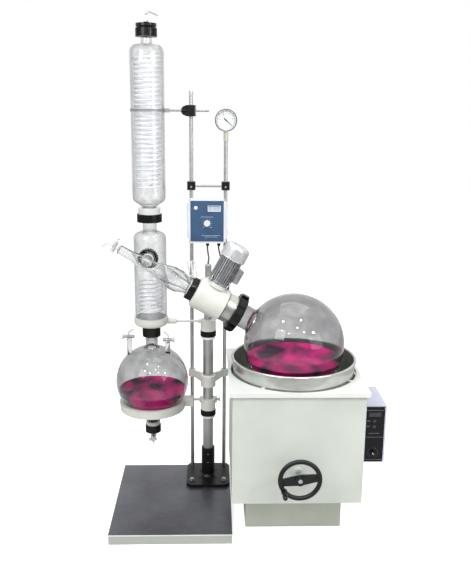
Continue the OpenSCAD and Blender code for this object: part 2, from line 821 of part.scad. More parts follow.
// A round tube swept along a run of points
module sweep(q, d, sides) {
    n = len(q);
    ring = [for (i = [0 : n - 1], j = [0 : sides - 1])
        let (t = heading(q, i), u = unit(cross(t, [0.12, 1, 0])), v = cross(t, u), a = 360 * j / sides)
        q[i] + d / 2 * (cos(a) * u + sin(a) * v)];
    walls = [for (i = [0 : n - 2], j = [0 : sides - 1], half = [0, 1])
        let (a = i * sides + j, b = i * sides + (j + 1) % sides)
        half == 0 ? [a, a + sides, b + sides] : [a, b + sides, b]];
    polyhedron(ring, concat(walls, [[for (j = [0 : sides - 1]) j]],
        [[for (j = [sides - 1 : -1 : 0]) (n - 1) * sides + j]]), convexity = 6);
}

post_lead_points = [[-4, 46, 1212.3], [-4, 44, 1196], [2, 16, 1160], [0, 0, 1146], [0, 0, 1134.6]];
motor_lead_points = [[49, 46, 1212.3], [49, 44, 1196], [64, 4, 1150], [92, -80, 1128], [105, -141, 1136],
    [111, -161, 1133]];

module controller_leads() {
    color("#4a4c52") {
        sweep(route(post_lead_points, 4), lead_d, 8);
        sweep(route(motor_lead_points, 5), lead_d, 8);
    }
}

// ---- Head ----

module head_housing() {
    r = housing_d / 2;
    inner_r = r - 9;
    color(cream) difference() {
        union() {
            on_axis(housing_s) rotate_extrude() polygon(concat([[0, 0]], arc(r - 7, 7, 7, -90, 0, 5),
                arc(r - 16, housing_l - 16, 16, 0, 90, 6), [[0, housing_l]]));
            on_axis(housing_end_s) cylinder(r = duct_flange_r, h = spigot_l);
            on_motor(inner_r - 2) cylinder(d = motor_d + 8, h = motor_boss_k - inner_r + 2);
        }
        on_axis(housing_s + wall_s) cylinder(r = inner_r, h = housing_l - 2 * wall_s);
        on_axis(housing_s - 1) cylinder(r = shaft_r + fit, h = housing_l + 1 - wall_s + 4);
        on_axis(housing_s) cylinder(r = shaft_bore / 2, h = housing_l + spigot_l + 1);
        on_motor(0) cylinder(d = motor_shaft_d + 2 * fit, h = motor_boss_k + 1);
        on_motor(0) cylinder(r = pinion_r + 3, h = inner_r);
    }
}

module head_bracket() {
    arm_w = 66;
    top = inner_post_shoulder;
    h = 62;
    color(cream) difference() {
        union() {
            translate([0, 0, top - h]) cylinder(d = 64, h = h);
            translate([-arm_w / 2, -head_front, top - h]) cube([arm_w, head_front, h]);
        }
        translate([0, 0, top - h - 1]) cylinder(d = inner_post_d + 2 * fit, h = h + 2);
        on_axis(housing_s - 60) cylinder(r = housing_d / 2 + fit, h = housing_l + 120);
        translate([-arm_w, -head_front - 1, top - h - 1]) cube([2 * arm_w, 60, h + 2]);
    }
}

module duct_nut() {
    color(black) on_axis(housing_end_s + seat) difference() {
        linear_extrude(height = duct_nut_l)
            polygon(tooth_points(20, duct_nut_d / 2 - 2.5, duct_nut_d / 2, 0.5));
        translate([0, 0, -1]) cylinder(r = duct_flange_r + fit, h = duct_nut_l - 6);
        translate([0, 0, -1]) cylinder(r = duct_flange_r - 6, h = duct_nut_l + 2);
    }
}

module drive_shaft() {
    end_s = housing_end_s - wall_s + 2;
    color(steel) on_axis(0) difference() {
        union() {
            translate([0, 0, ring_s]) cylinder(d = drive_ring_d - 5, h = 3);
            translate([0, 0, ring_s + 3]) cylinder(d = drive_ring_d, h = drive_ring_l - 3);
            translate([0, 0, neck_end_s + fit]) cylinder(r = flask_neck_r + 8, h = ring_s - neck_end_s);
            translate([0, 0, ring_s + drive_ring_l - 1])
                cylinder(r = shaft_r, h = end_s - ring_s - drive_ring_l + 1);
        }
        translate([0, 0, ring_s - 60]) cylinder(d = shaft_bore, h = end_s - ring_s + 80);
    }
    color("#b08d57") on_axis(crown_s) difference() {
        linear_extrude(height = crown_t) polygon(tooth_points(crown_teeth, crown_r - 3, crown_r, 0.5));
        translate([0, 0, -1]) cylinder(r = shaft_r + fit, h = crown_t + 2);
    }
}

module pinion_shaft() {
    color(steel) on_motor(pinion_tip_k) {
        linear_extrude(height = pinion_face) polygon(tooth_points(16, pinion_r - 2.5, pinion_r, 0.5));
        translate([0, 0, pinion_face]) cylinder(d = motor_shaft_d,
            h = motor_k + 14 - pinion_tip_k - pinion_face);
    }
}

module flask_nut() {
    tip = flask_nut_d / 2;
    color(black) on_axis(nut_s) difference() {
        union() {
            translate([0, 0, 4]) linear_extrude(height = nut_l - 8)
                polygon(tooth_points(8, tip - 9, tip, 0.62));
            cylinder(r1 = tip - 14, r2 = tip - 10, h = 4);
            translate([0, 0, nut_l - 4]) cylinder(r1 = tip - 10, r2 = tip - 14, h = 4);
        }
        translate([0, 0, -1]) cylinder(r = flask_neck_r + 1, h = nut_l + 2);
        translate([0, 0, 14]) cylinder(r = flask_neck_r + 8 + fit, h = nut_l);
    }
}

module rotary_flask() {
    r = flask_neck_r;
    color(glass) on_axis(0) difference() {
        union() {
            sphere(r = flask_r, $fn = 96);
            cylinder(r = r, h = neck_end_s - 14);
            translate([0, 0, neck_end_s - 14]) cylinder(r1 = r, r2 = r + 8, h = 4);
            translate([0, 0, neck_end_s - 10]) cylinder(r = r + 8, h = 10);
            translate([0, 0, flask_r - 26]) cylinder(r1 = r + 26, r2 = r, h = 26);
        }
        sphere(r = flask_r - glass_t - 1, $fn = 96);
        cylinder(r = r - glass_t - 1, h = neck_end_s + 1);
    }
}

// ---- Motor ----

module motor_body() {
    r = motor_d / 2;
    color("#c9cbcd") on_motor(motor_boss_k) difference() {
        union() {
            cylinder(r = r + 2, h = motor_k - motor_boss_k - 2);
            cylinder(r = r - 6, h = motor_k - motor_boss_k);
        }
        translate([0, 0, -1]) cylinder(d = motor_shaft_d + 2 * fit, h = 20);
    }
    color("#7f8084") on_motor(motor_k) difference() {
        linear_extrude(height = motor_l) polygon(tooth_points(fin_count, r - 8, r, 0.42));
        translate([0, 0, -1]) cylinder(d = motor_shaft_d + 2 * fit, h = 17);
    }
    color("#6d6f73") on_motor(motor_k + 18) rotate([0, 0, 20]) {
        translate([r - 6, -27, 0]) cube([26, 54, 66]);
        translate([r + 20, -25, 2]) cube([4, 50, 62]);
        translate([r + 8, 27, 33]) rotate([-90, 0, 0]) cylinder(d1 = 18, d2 = 12, h = 14);
    }
}

module motor_cover() {
    r = cover_d / 2;
    color("#dfe1e2") on_motor(cover_k) difference() {
        rotate_extrude() polygon(concat([[0, 0], [r, 0]], arc(r - 22, cover_l - 22, 22, 0, 90, 8),
            [[0, cover_l]]));
        translate([0, 0, -1]) cylinder(r = r - 3, h = cover_l - 22);
        for (a = [0 : 45 : 315]) rotate([0, 0, a]) translate([16, -2, cover_l - 8]) cube([20, 4, 12]);
    }
    color("#dfe1e2") on_motor(cover_k) difference() {
        cylinder(r = r - 3, h = 4);
        translate([0, 0, -1]) cylinder(r = 20, h = 6);
    }
}

// ---- Vapour duct ----

module duct_outline(t) {
    e = t > 0 ? 1 : 0;
    polygon([[0, neck_end_s + 8 - e], [duct_tube_r - t, neck_end_s + 8 - e], [duct_tube_r - t, duct_s + 9],
        [duct_tube_r + 4 - t, duct_s + 14], [duct_tube_r + 6 - t, duct_s + 26], [duct_r - t, duct_s + 66],
        [duct_r - t, duct_s + 112], [duct_r - 5 - t, duct_s + 132], [crossing_r - t, port_s - 34],
        [crossing_r - t, port_s + 34], [tail_r - t, port_s + 64], [tail_r - t, duct_end_s - 12 - t / 2],
        [9 - t / 2, duct_end_s - 3 - t], [0, duct_end_s - 3 - t]]);
}

module vapour_duct() {
    port_l = head_front + port_nut_y - port_nut_l / 2;
    color(glass) difference() {
        union() {
            on_axis(0) {
                rotate_extrude() duct_outline(0);
                translate([0, 0, duct_s + fit]) cylinder(r = duct_flange_r, h = 8);
                translate([0, 0, duct_end_s - 6]) cylinder(r = 7, h = 12);
                translate([0, 0, feed_s]) stopcock_barrel(34);
                translate([0, 0, feed_s + 2]) rotate([0, 0, 180]) bent_arm(4.5, 26, 14, 62, 22);
            }
            on_axis(port_s) rotate([-90, 0, 0]) cylinder(r = port_r - 3, h = port_l);
            on_axis(port_s) rotate([-90, 0, 0]) translate([0, 0, port_l - 8])
                cylinder(r = port_flange_r, h = 8);
        }
        on_axis(0) rotate_extrude() duct_outline(glass_t);
        on_axis(port_s) rotate([-90, 0, 0]) cylinder(r = port_r - 3 - glass_t, h = port_l + 1);
        on_axis(feed_s) stopcock_bore(34);
    }
}

module feed_key() {
    color(white) on_axis(feed_s) bar_key(34, 50, 26);
}

// ---- Column ----

module lower_condenser() {
    r = condenser_r;
    top = lower_shoulder_z;
    color(glass) difference() {
        union() {
            at_column(0) glass_wall(concat(
                [[outlet_r, receiver_neck_top - 30], [outlet_r, lower_bottom_z - 2],
                    [outlet_r + 12, lower_bottom_z + 4]],
                arc(r - 34, lower_body_z, 34, -70, 0, 6),
                arc(r - 30, top - 26, 30, 0, 60, 6),
                [[neck_r, top + 14], [neck_r, lower_neck_top]]));
            at_column(lower_neck_top - flange_t) tube_z(2 * flange_r, 2 * neck_r - 2 * glass_t, flange_t);
            translate([cx, 0, port_z]) rotate([90, 0, 0]) difference() {
                union() {
                    cylinder(r = port_r, h = -port_nut_y + port_nut_l / 2 - 1);
                    translate([0, 0, -port_nut_y + port_nut_l / 2 - 9]) cylinder(r = port_flange_r, h = 8);
                }
                cylinder(r = r - glass_t, h = 1);
            }
            for (z = [lower_coil_z, lower_coil_z + lower_turns * coil_pitch]) translate([cx, r - 2, z])
                rotate([-90, 0, 0]) cylinder(d = nozzle_d, h = nozzle_l);
        }
        at_column(lower_body_z) cylinder(r = r - glass_t, h = top - 30 - lower_body_z);
        translate([cx, 0, port_z]) rotate([90, 0, 0]) cylinder(r = port_r - glass_t, h = 200);
    }
}

module coil(turns) {
    helix_tube(coil_r, coil_tube_d / 2, coil_pitch, turns, 6, 14);
    for (z = [0, turns * coil_pitch]) translate([0, coil_r - 1, z]) rotate([-90, 0, 0])
        cylinder(d = coil_tube_d * 0.8, h = condenser_r - glass_t - coil_r + 1 - fit);
}

module lower_coil() {
    color("#e9f0f2") at_column(lower_coil_z) coil(lower_turns);
}

module upper_coil() {
    color("#e9f0f2") at_column(upper_coil_z) coil(upper_turns);
}

module upper_condenser() {
    r = condenser_r;
    color(glass) {
        at_column(0) glass_wall(concat(
            [[neck_r, lower_neck_top + fit], [neck_r, mid_nut_z + mid_nut_h + gasket_h + 4]],
            arc(r - 28, upper_bottom_z, 28, -70, 0, 6),
            arc(r - 34, upper_top_z, 34, 0, 66, 6),
            [[top_neck_r + 1, upper_top_z + 36], [top_neck_r, upper_top_z + 44],
                [top_neck_r, top_neck_top]]));
        at_column(lower_neck_top + fit) tube_z(2 * flange_r, 2 * neck_r - 2 * glass_t, flange_t);
        at_column(top_neck_top - flange_t) tube_z(2 * top_flange_r, 2 * top_neck_r - 2 * glass_t, flange_t);
        for (z = [upper_coil_z, upper_coil_z + upper_turns * coil_pitch]) difference() {
            translate([cx, r - 2, z]) rotate([-90, 0, 0]) cylinder(d = nozzle_d, h = nozzle_l);
            at_column(z - nozzle_d) cylinder(r = r - glass_t, h = 2 * nozzle_d);
        }
    }
}

module column_nuts() {
    color(black) {
        at_column(mid_nut_z) coupling_nut(mid_nut_d, mid_nut_h, neck_r + fit, flange_r + fit, 24);
        at_column(top_nut_z) coupling_nut(top_nut_d, top_nut_h, top_neck_r + fit, top_flange_r + fit, 30);
        translate([cx, port_nut_y + port_nut_l / 2, port_z]) rotate([90, 0, 0])
            coupling_nut(port_nut_d, port_nut_l, port_r + fit, port_flange_r + fit, 24);
        at_column(top_disc_z) difference() {
            union() {
                cylinder(d1 = top_disc_d - 8, d2 = top_disc_d, h = 5);
                translate([0, 0, 5]) cylinder(d = top_disc_d, h = top_disc_h - 5);
                translate([0, 0, top_neck_top + seat - top_disc_z])
                    cylinder(r = top_neck_r + 4, h = top_disc_z - top_neck_top);
            }
            translate([0, 0, -20]) cylinder(r = 12 + fit, h = 60);
        }
        at_column(cap_z) difference() {
            linear_extrude(height = cap_h) polygon(tooth_points(30, cap_d / 2 - 2, cap_d / 2, 0.5));
            translate([0, 0, -1]) cylinder(r = receiver_neck_r + fit,
                h = receiver_neck_top - cap_z + 1 + fit);
            translate([0, 0, -1]) cylinder(r = outlet_r + fit, h = cap_h + 2);
        }
        at_column(drain_nut_z) difference() {
            linear_extrude(height = drain_nut_h)
                polygon(tooth_points(20, drain_nut_d / 2 - 2.5, drain_nut_d / 2, 0.5));
            translate([0, 0, -1]) cylinder(r = 13 + fit, h = drain_nut_h + 2);
            translate([0, 0, 8]) cylinder(r = drain_r + 6 + fit, h = drain_nut_h);
        }
    }
}

module column_gaskets() {
    color(white) {
        at_column(mid_nut_z + mid_nut_h) tube_z(gasket_d, neck_d + 2 * fit, gasket_h);
        at_column(drain_nut_z + drain_nut_h) tube_z(drain_nut_d - 8, 2 * drain_r + 2 * fit, drain_collar_h);
    }
}

module vent_valve() {
    color(glass) difference() {
        union() {
            at_column(top_disc_z - 14) cylinder(r = 12, h = vent_z - top_disc_z + 14 + 6);
            at_column(vent_z) cylinder(r1 = 20, r2 = 9, h = 8);
            at_column(vent_z + 7) cylinder(r = 9, h = 23);
            translate([cx, 0, vent_barrel_z]) rotate([0, 0, 90]) stopcock_barrel(32);
            at_column(vent_z + 27) bent_arm(4.5, 6, 14, 112, 34);
        }
        translate([cx, 0, vent_barrel_z]) rotate([0, 0, 90]) stopcock_bore(32);
        at_column(top_disc_z - 15) cylinder(r = 7, h = 24);
    }
}

module vent_key() {
    color(white) translate([cx, 0, vent_barrel_z]) rotate([0, 0, -90]) stopcock_key(32, 26);
}

module column_ring() {
    r = column_ring_d / 2;
    arm_end = -column_x + r - 3;
    color(cream) difference() {
        union() {
            at_column(column_ring_z) rotate_extrude()
                polygon(concat([[0, 0]], arc(r - 24, 24, 24, -90, 0, 6),
                [[r, column_ring_h], [0, column_ring_h]]));
            translate([arm_end, 0, column_arm_z]) rotate([0, 90, 0]) cylinder(d = 26, h = 42);
            translate([arm_end + 40, 0, column_arm_z]) rotate([0, 90, 0])
                cylinder(d = column_arm_d, h = column_x - r + 3 - 40 - top_collar_d / 2 + 6);
        }
        at_column(column_ring_z - 1) cylinder(r = outlet_r + 4, h = column_ring_h);
        at_column(0) rotate_extrude() polygon(concat(
            [[0, lower_bottom_z - 4], [outlet_r + 4, lower_bottom_z - 1.5],
                [outlet_r + 13, lower_bottom_z + 3]],
            arc(condenser_r - 34, lower_body_z, 34 + fit, -70, 0, 6),
            [[condenser_r + fit, column_ring_z + column_ring_h + 1],
                [0, column_ring_z + column_ring_h + 1]]));
    }
}

// ---- Receiver ----

module side_neck(x, y, top_z) {
    translate([cx + x, y, receiver_z + 60]) cylinder(r = side_neck_r, h = top_z - receiver_z - 60);
    translate([cx + x, y, top_z]) cylinder(r1 = side_neck_r, r2 = side_neck_r - 5, h = 7);
}

module receiver_flask() {
    r = receiver_r;
    color(glass) difference() {
        union() {
            at_column(receiver_z) sphere(r = r, $fn = 96);
            at_column(receiver_z + r - 24)
                cylinder(r = receiver_neck_r, h = receiver_neck_top - receiver_z - r + 24);
            at_column(receiver_z + r - 22)
                cylinder(r1 = receiver_neck_r + 26, r2 = receiver_neck_r, h = 26);
            side_neck(left_neck_x, left_neck_y, side_valve_z - 14);
            side_neck(right_neck_x, right_neck_y, side_valve_z - 20);
            translate([cx + left_neck_x, left_neck_y, side_valve_z]) stopcock_barrel(44);
            translate([cx + right_neck_x, right_neck_y, side_valve_z - 6]) stopcock_barrel(40);
            translate([cx + left_neck_x - 4, left_neck_y, side_valve_z + 6]) bent_arm(4.5, 6, 18, 60, 18);
            translate([cx + right_neck_x + 4, right_neck_y, side_valve_z]) rotate([0, 0, 180])
                bent_arm(4.5, 8, 20, 55, 18);
            at_column(drain_nut_z + 16) cylinder(r = drain_r, h = 80);
            at_column(drain_nut_z + 16) cylinder(r = drain_r + 6, h = 8);
        }
        at_column(receiver_z) sphere(r = r - glass_t - 1, $fn = 96);
        at_column(receiver_z) cylinder(r = receiver_neck_r - glass_t, h = r + 100);
        at_column(drain_nut_z) cylinder(r = drain_r - glass_t, h = 200);
        translate([cx + left_neck_x, left_neck_y, side_valve_z]) stopcock_bore(44);
        translate([cx + right_neck_x, right_neck_y, side_valve_z - 6]) stopcock_bore(40);
    }
}

module receiver_key_left() {
    color(white) translate([cx + left_neck_x, left_neck_y, side_valve_z]) rotate([0, 0, 180])
        stopcock_key(44, 28);
}

module receiver_key_right() {
    color(white) translate([cx + right_neck_x, right_neck_y, side_valve_z - 6]) stopcock_key(40, 28);
}

module receiver_ring() {
    r = receiver_ring_d / 2;
    arm_y = post_d / 2 + ring_arm_d + 7;
    ear_x = -column_x + r - 6;
    color(cream) difference() {
        union() {
            at_column(receiver_ring_z) cylinder(r1 = r - 4, r2 = r, h = receiver_ring_h);
            translate([ear_x, -8, receiver_ring_z + 4]) cube([42, arm_y + 20, 32]);
        }
        at_column(receiver_z) sphere(r = receiver_r + fit, $fn = 96);
        translate([ear_x + 14, arm_y, ring_arm_z]) rotate([0, 90, 0])
            cylinder(d = ring_arm_d + 2 * fit, h = 40);
    }
    color("#55585c") {
        translate([ear_x + 14, arm_y, ring_arm_z]) rotate([0, 90, 0])
            cylinder(d = ring_arm_d, h = -ear_x - 14 + 52);
        translate([52, arm_y, ring_arm_z]) rotate([0, 90, 0]) cylinder(d = ring_arm_d + 6, h = 8);
    }
}

module drain_valve() {
    color(glass) difference() {
        union() {
            at_column(drain_nut_z + 8 + fit) cylinder(r = drain_r + 6, h = 8 - 2 * fit);
            at_column(drain_barrel_z) cylinder(r = 13, h = drain_nut_z + 10 - drain_barrel_z);
            translate([cx, 0, drain_barrel_z]) rotate([0, 0, 90]) rotate([0, 90, 0])
                translate([0, 0, -22]) cylinder(r = 14, h = 44);
            at_column(drain_barrel_z - 34) cylinder(r1 = 5, r2 = 8, h = 34);
        }
        translate([cx, 0, drain_barrel_z]) rotate([0, 0, 90]) rotate([0, 90, 0]) translate([0, 0, -23])
            cylinder(r = 8, h = 46);
        at_column(drain_barrel_z) cylinder(r = 9, h = 60);
    }
}

module drain_key() {
    color(white) translate([cx, 0, drain_barrel_z]) rotate([90, 0, 0]) {
        translate([0, 0, -26]) cylinder(r = 8 - fit, h = 54);
        translate([0, 0, -30]) cylinder(r = 11, h = 8 - seat);
        translate([0, 0, 22 + seat]) cylinder(r = 12, h = 6);
        translate([-20, -5, 28]) cube([40, 10, 8]);
    }
}

// ---- Bath ----

module bath_plinth() {
    w = plinth_w;
    d = plinth_d;
    color("#b5baae") difference() {
        translate([bath_x - w / 2, ay - d / 2, 0]) cube([w, d, plinth_h]);
        translate([bath_x - w / 2 + sheet_t, ay - d / 2 + sheet_t, sheet_t])
            cube([w - 2 * sheet_t, d - 2 * sheet_t, plinth_h]);
    }
}

module bath_box() {
    w = bath_w;
    top = lid_z - lid_t;
    t = sheet_t;
    color("#d3d8d2") difference() {
        translate([bath_x - w / 2, bath_front, plinth_h]) cube([w, w, top - plinth_h]);
        translate([bath_x - w / 2 + t, bath_front + t, plinth_h + t])
            cube([w - 2 * t, w - 2 * t, top - plinth_h]);
        translate([bath_x, ay, plinth_h - 1]) cylinder(d = screw_d + 20, h = t + 2);
        translate([bath_x, bath_front - 1, wheel_z]) rotate([-90, 0, 0])
            cylinder(d = wheel_shaft_d + 8, h = t + 2);
    }
    color("#c4c9c2") translate([bath_x, bath_front, wheel_z]) rotate([90, 0, 0]) difference() {
        union() {
            cylinder(d = 64, h = 6);
            cylinder(d = 40, h = bearing_l);
            translate([0, 0, -t]) cylinder(d = wheel_shaft_d + 8 - 2 * fit, h = t);
        }
        translate([0, 0, -t - 1]) cylinder(d = wheel_shaft_d + 2 * fit, h = bearing_l + t + 2);
    }
}

module bath_lid() {
    w = lid_w;
    t = sheet_t;
    color("#f4f5f3") {
        difference() {
            union() {
                difference() {
                    translate([bath_x - w / 2, ay - w / 2, lid_z - lid_t]) cube([w, w, lid_t]);
                    translate([bath_x - w / 2 + t, ay - w / 2 + t, lid_z - lid_t - 1])
                        cube([w - 2 * t, w - 2 * t, lid_t + 1 - t]);
                }
                translate([bath_x, ay, lid_z - lid_t]) cylinder(d = lid_hole_d + 2 * t, h = lid_t - t);
                for (s = [-1, 1])
                    translate([bath_x + s * (bath_w / 2 - 5) - 5, ay - bath_w / 2 + 20, lid_z - lid_t])
                        cube([10, bath_w - 40, lid_t - t]);
            }
            translate([bath_x, ay, lid_z - lid_t - 1]) cylinder(d = lid_hole_d, h = lid_t + 2);
        }
        for (a = [45 : 90 : 315]) translate([bath_x, ay, lid_z - t]) rotate([0, 0, a + 12])
            translate([pot_r + 0.6, -7, 0]) cube([lid_hole_d / 2 - pot_r + 14, 14, t + 2]);
    }
}

module bath_pot() {
    r = pot_r;
    bend = 36;
    color(steel) translate([bath_x, ay, 0]) {
        rotate_extrude() polygon(concat(
            [[0, pot_bottom_z]],
            arc(r - bend, pot_bottom_z + bend, bend, -90, 0, 8),
            [[r, pot_rim_z - 8], [r - pot_t, pot_rim_z - 8]],
            [for (p = arc(r - bend, pot_bottom_z + bend, bend - pot_t, 0, -90, 8)) p],
            [[0, pot_bottom_z + pot_t]]));
        translate([0, 0, pot_rim_z - pot_rim_r]) rotate_extrude()
            translate([r + pot_rim_r - pot_t - 1, 0]) circle(r = pot_rim_r, $fn = 24);
    }
}

module lift_platform() {
    reach = corner_x * sqrt(2);
    color("#8b8e93") difference() {
        union() {
            for (a = [45, 135]) translate([bath_x, ay, platform_z]) rotate([0, 0, a]) {
                translate([-reach, -20, 0]) cube([2 * reach, 40, platform_t]);
                for (s = [-1, 1]) translate([s * reach, 0, -24])
                    cylinder(d = guide_d + 16, h = platform_t + 24);
            }
            translate([bath_x, ay, platform_z - 14]) cylinder(d = 90, h = platform_t + 14);
        }
        for (x = [-corner_x, corner_x], y = [-corner_x, corner_x])
            translate([bath_x + x, ay + y, platform_z - 30])
            cylinder(d = guide_d + 2 * fit, h = platform_t + 40);
    }
    color(steel) translate([bath_x, ay, screw_end_z])
        cylinder(d = screw_d, h = platform_z - 14 - screw_end_z);
}

module lift_frame() {
    inner = bath_w / 2 - sheet_t;
    color(steel) for (x = [-corner_x, corner_x], y = [-corner_x, corner_x])
        translate([bath_x + x, ay + y, plinth_h + sheet_t]) rod_z(guide_d, guide_top - plinth_h - sheet_t);
    color("#8b8e93") difference() {
        union() {
            translate([bath_x - inner, ay - 40, bearer_z]) cube([2 * inner, 80, bearer_t]);
            for (s = [-1, 1]) translate([bath_x + s * (inner - 4) - 4, ay - 40, plinth_h + sheet_t])
                cube([8, 80, bearer_z - plinth_h - sheet_t]);
        }
        translate([bath_x, ay, bearer_z - 1]) cylinder(d = screw_d + 4, h = bearer_t + 2);
    }
}

module crown_gear() {
    color("#b08d57") translate([bath_x, ay, 0]) difference() {
        union() {
            translate([0, 0, crown_gear_z - crown_gear_t]) linear_extrude(height = crown_gear_t)
                polygon(tooth_points(50, crown_gear_r - 3, crown_gear_r, 0.5));
            translate([0, 0, crown_gear_z - crown_gear_t - crown_hub_h])
                cylinder(d = crown_hub_d, h = crown_hub_h);
        }
        translate([0, 0, bearer_z]) cylinder(d = screw_d + 2 * fit, h = 200);
    }
}

module handwheel() {
    rim_r = wheel_d / 2 - wheel_rim_d / 2;
    color("#3a3b40") translate([bath_x, wheel_y, wheel_z]) rotate([90, 0, 0]) {
        rotate_extrude() translate([rim_r, 0]) circle(d = wheel_rim_d, $fn = 32);
        translate([0, 0, -12]) cylinder(d = 46, h = 22);
        rotate([0, 0, 8]) translate([0, 0, -6]) linear_extrude(height = 10)
            polygon([[-rim_r, -15], [0, -24], [rim_r, -15], [rim_r, 15], [0, 24], [-rim_r, 15]]);
        rotate([0, 0, grip_angle]) translate([rim_r, 0, -2])
            cylinder(d = grip_d + 4, h = wheel_rim_d / 2 + 3);
    }
    color(steel) {
        translate([bath_x, wheel_y, wheel_z]) rotate([90, 0, 0]) cylinder(d = 20, h = 13, $fn = 6);
        translate([bath_x, wheel_y, wheel_z]) rotate([-90, 0, 0])
            cylinder(d = wheel_shaft_d, h = ay - wheel_y - crown_gear_r + 14);
        translate([bath_x, ay - crown_gear_r + 14, wheel_z]) rotate([90, 0, 0])
            linear_extrude(height = 14) polygon(tooth_points(20, pinion_wheel_r - 3, pinion_wheel_r, 0.5));
        translate([bath_x, wheel_y, wheel_z]) rotate([90, 0, 0]) rotate([0, 0, grip_angle])
            translate([rim_r, 0, 0])
            cylinder(d = 8, h = wheel_rim_d / 2 + grip_l + 4);
    }
}

module hand_grip() {
    rim_r = wheel_d / 2 - wheel_rim_d / 2;
    color(black) translate([bath_x, wheel_y, wheel_z]) rotate([90, 0, 0]) rotate([0, 0, grip_angle])
        translate([rim_r, 0, wheel_rim_d / 2 + 1 + seat]) difference() {
            rotate_extrude() polygon([[0, 0], [grip_d / 2 - 3, 0], [grip_d / 2 - 1, 8], [grip_d / 2, 30],
                [grip_d / 2 - 2, grip_l - 4],
                [grip_d / 2 - 6, grip_l], [0, grip_l]]);
            translate([0, 0, -1]) cylinder(d = 8 + 2 * fit, h = grip_l + 4);
        }
}

module control_box() {
    color("#c5c7da") translate([control_x, control_y, control_z]) cube([control_w, control_d, control_h]);
    color(black) translate([control_x + 3, control_y - 3, control_z + 4]) difference() {
        cube([control_w - 6, 3, control_h - 8]);
        for (z = [button_z, button_z + button_gap])
            translate([control_w / 2 - 3 - button_w / 2 - fit, -1, z - control_z - 4 - button_w / 2 - fit])
            cube([button_w + 2 * fit, 5, button_w + 2 * fit]);
    }
    color(steel) translate([control_x + control_w / 2, control_y - 3, bath_knob_z]) rotate([90, 0, 0])
        cylinder(d = 6, h = 12);
}

module bath_knob() {
    color("#2b2b30") translate([control_x + control_w / 2, control_y - 3 - seat, bath_knob_z])
        rotate([90, 0, 0]) difference() {
        union() {
            cylinder(d = bath_knob_d + 6, h = 3);
            cylinder(d1 = bath_knob_d, d2 = bath_knob_d - 4, h = 15);
            rotate([0, 0, 45]) translate([-3, -bath_knob_d / 2 + 1, 14]) cube([6, bath_knob_d - 2, 3]);
        }
        translate([0, 0, -1]) cylinder(d = 6 + 2 * fit, h = 14);
    }
}

module button(z) {
    w = button_w;
    translate([control_x + control_w / 2 - w / 2, control_y - 5, z - w / 2]) cube([w, 4, w]);
}

module up_button() {
    color("#3c3d44") button(button_z + button_gap);
}

module down_button() {
    color("#3c3d44") button(button_z);
}

base_plate();
post_foot();
foot_bolts();
main_post();
inner_post();
top_collar();
lower_collar();
collar_rings();
rod_bracket();
left_rod();
right_rod();
cross_clamps();
condenser_clamp();
gauge_case();
gauge_dial();
gauge_needle();
controller_case();
controller_panel();
speed_knob();
cable_glands();
controller_leads();
head_housing();
head_bracket();
duct_nut();
drive_shaft();
pinion_shaft();
flask_nut();
rotary_flask();
motor_body();
motor_cover();
vapour_duct();
feed_key();
lower_condenser();
lower_coil();
column_nuts();
column_gaskets();
upper_condenser();
upper_coil();
vent_valve();
vent_key();
column_ring();
receiver_flask();
receiver_key_left();
receiver_key_right();
receiver_ring();
drain_valve();
drain_key();
bath_plinth();
bath_box();
bath_lid();
bath_pot();
lift_platform();
lift_frame();
crown_gear();
handwheel();
hand_grip();
control_box();
bath_knob();
up_button();
down_button();
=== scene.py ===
"""Rotary evaporator: materials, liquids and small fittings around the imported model. Metres throughout."""

import math

import bmesh
import bpy
from mathutils import Matrix, Vector


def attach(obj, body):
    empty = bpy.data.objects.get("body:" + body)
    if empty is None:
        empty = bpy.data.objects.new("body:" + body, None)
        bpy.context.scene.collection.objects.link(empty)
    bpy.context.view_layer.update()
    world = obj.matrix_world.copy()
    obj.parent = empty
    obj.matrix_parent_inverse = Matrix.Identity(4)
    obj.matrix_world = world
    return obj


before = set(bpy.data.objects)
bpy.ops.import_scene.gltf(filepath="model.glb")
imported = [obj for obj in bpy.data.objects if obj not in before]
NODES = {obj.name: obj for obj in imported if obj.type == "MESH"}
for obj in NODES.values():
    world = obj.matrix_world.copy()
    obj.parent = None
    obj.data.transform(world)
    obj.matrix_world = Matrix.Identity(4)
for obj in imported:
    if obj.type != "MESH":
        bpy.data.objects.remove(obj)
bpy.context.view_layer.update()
scene = bpy.context.scene

# ---- Places of the machine, in metres ----

POST_X = 0.08  # the post that the gauge stands over
COLUMN_X = -0.27  # the condenser column
BATH_X = 0.386  # the bath and the flask in it
HEAD_Y = -0.22  # the plane that the rotating axis lies in
TILT = math.radians(29)  # how steeply the rotating axis rises
FLASK = Vector((BATH_X, HEAD_Y, 0.817))
RECEIVER = Vector((COLUMN_X, 0, 0.56))
AXIS = Vector((-math.cos(TILT), 0, math.sin(TILT)))  # up the rotating axis, away from the flask
RISE = Vector((math.sin(TILT), 0, math.cos(TILT)))  # across it, up to the right
FORWARD, BACK = Vector((0, -1, 0)), Vector((0, 1, 0))


def on_axis(s):
    """A point s up the rotating axis from the middle of the flask."""
    return FLASK + s * AXIS


# ---- Node helpers ----


def linear(hex_code):
    """An sRGB hex colour as linear RGBA."""
    parts = [int(hex_code[i : i + 2], 16) / 255 for i in (1, 3, 5)]
    return [c / 12.92 if c <= 0.04045 else ((c + 0.055) / 1.055) ** 2.4 for c in parts] + [1.0]


def add(tree, kind, settings=None, links=None):
    """One node with its settings and links. A key that is an input's name or number sets that input."""
    made = tree.nodes.new(kind)
    for key, value in (settings or {}).items():
        if isinstance(key, str) and hasattr(made, key):
            setattr(made, key, value)
        else:
            made.inputs[key].default_value = value
    for key, source in (links or {}).items():
        tree.links.new(source, made.inputs[key])
    return made


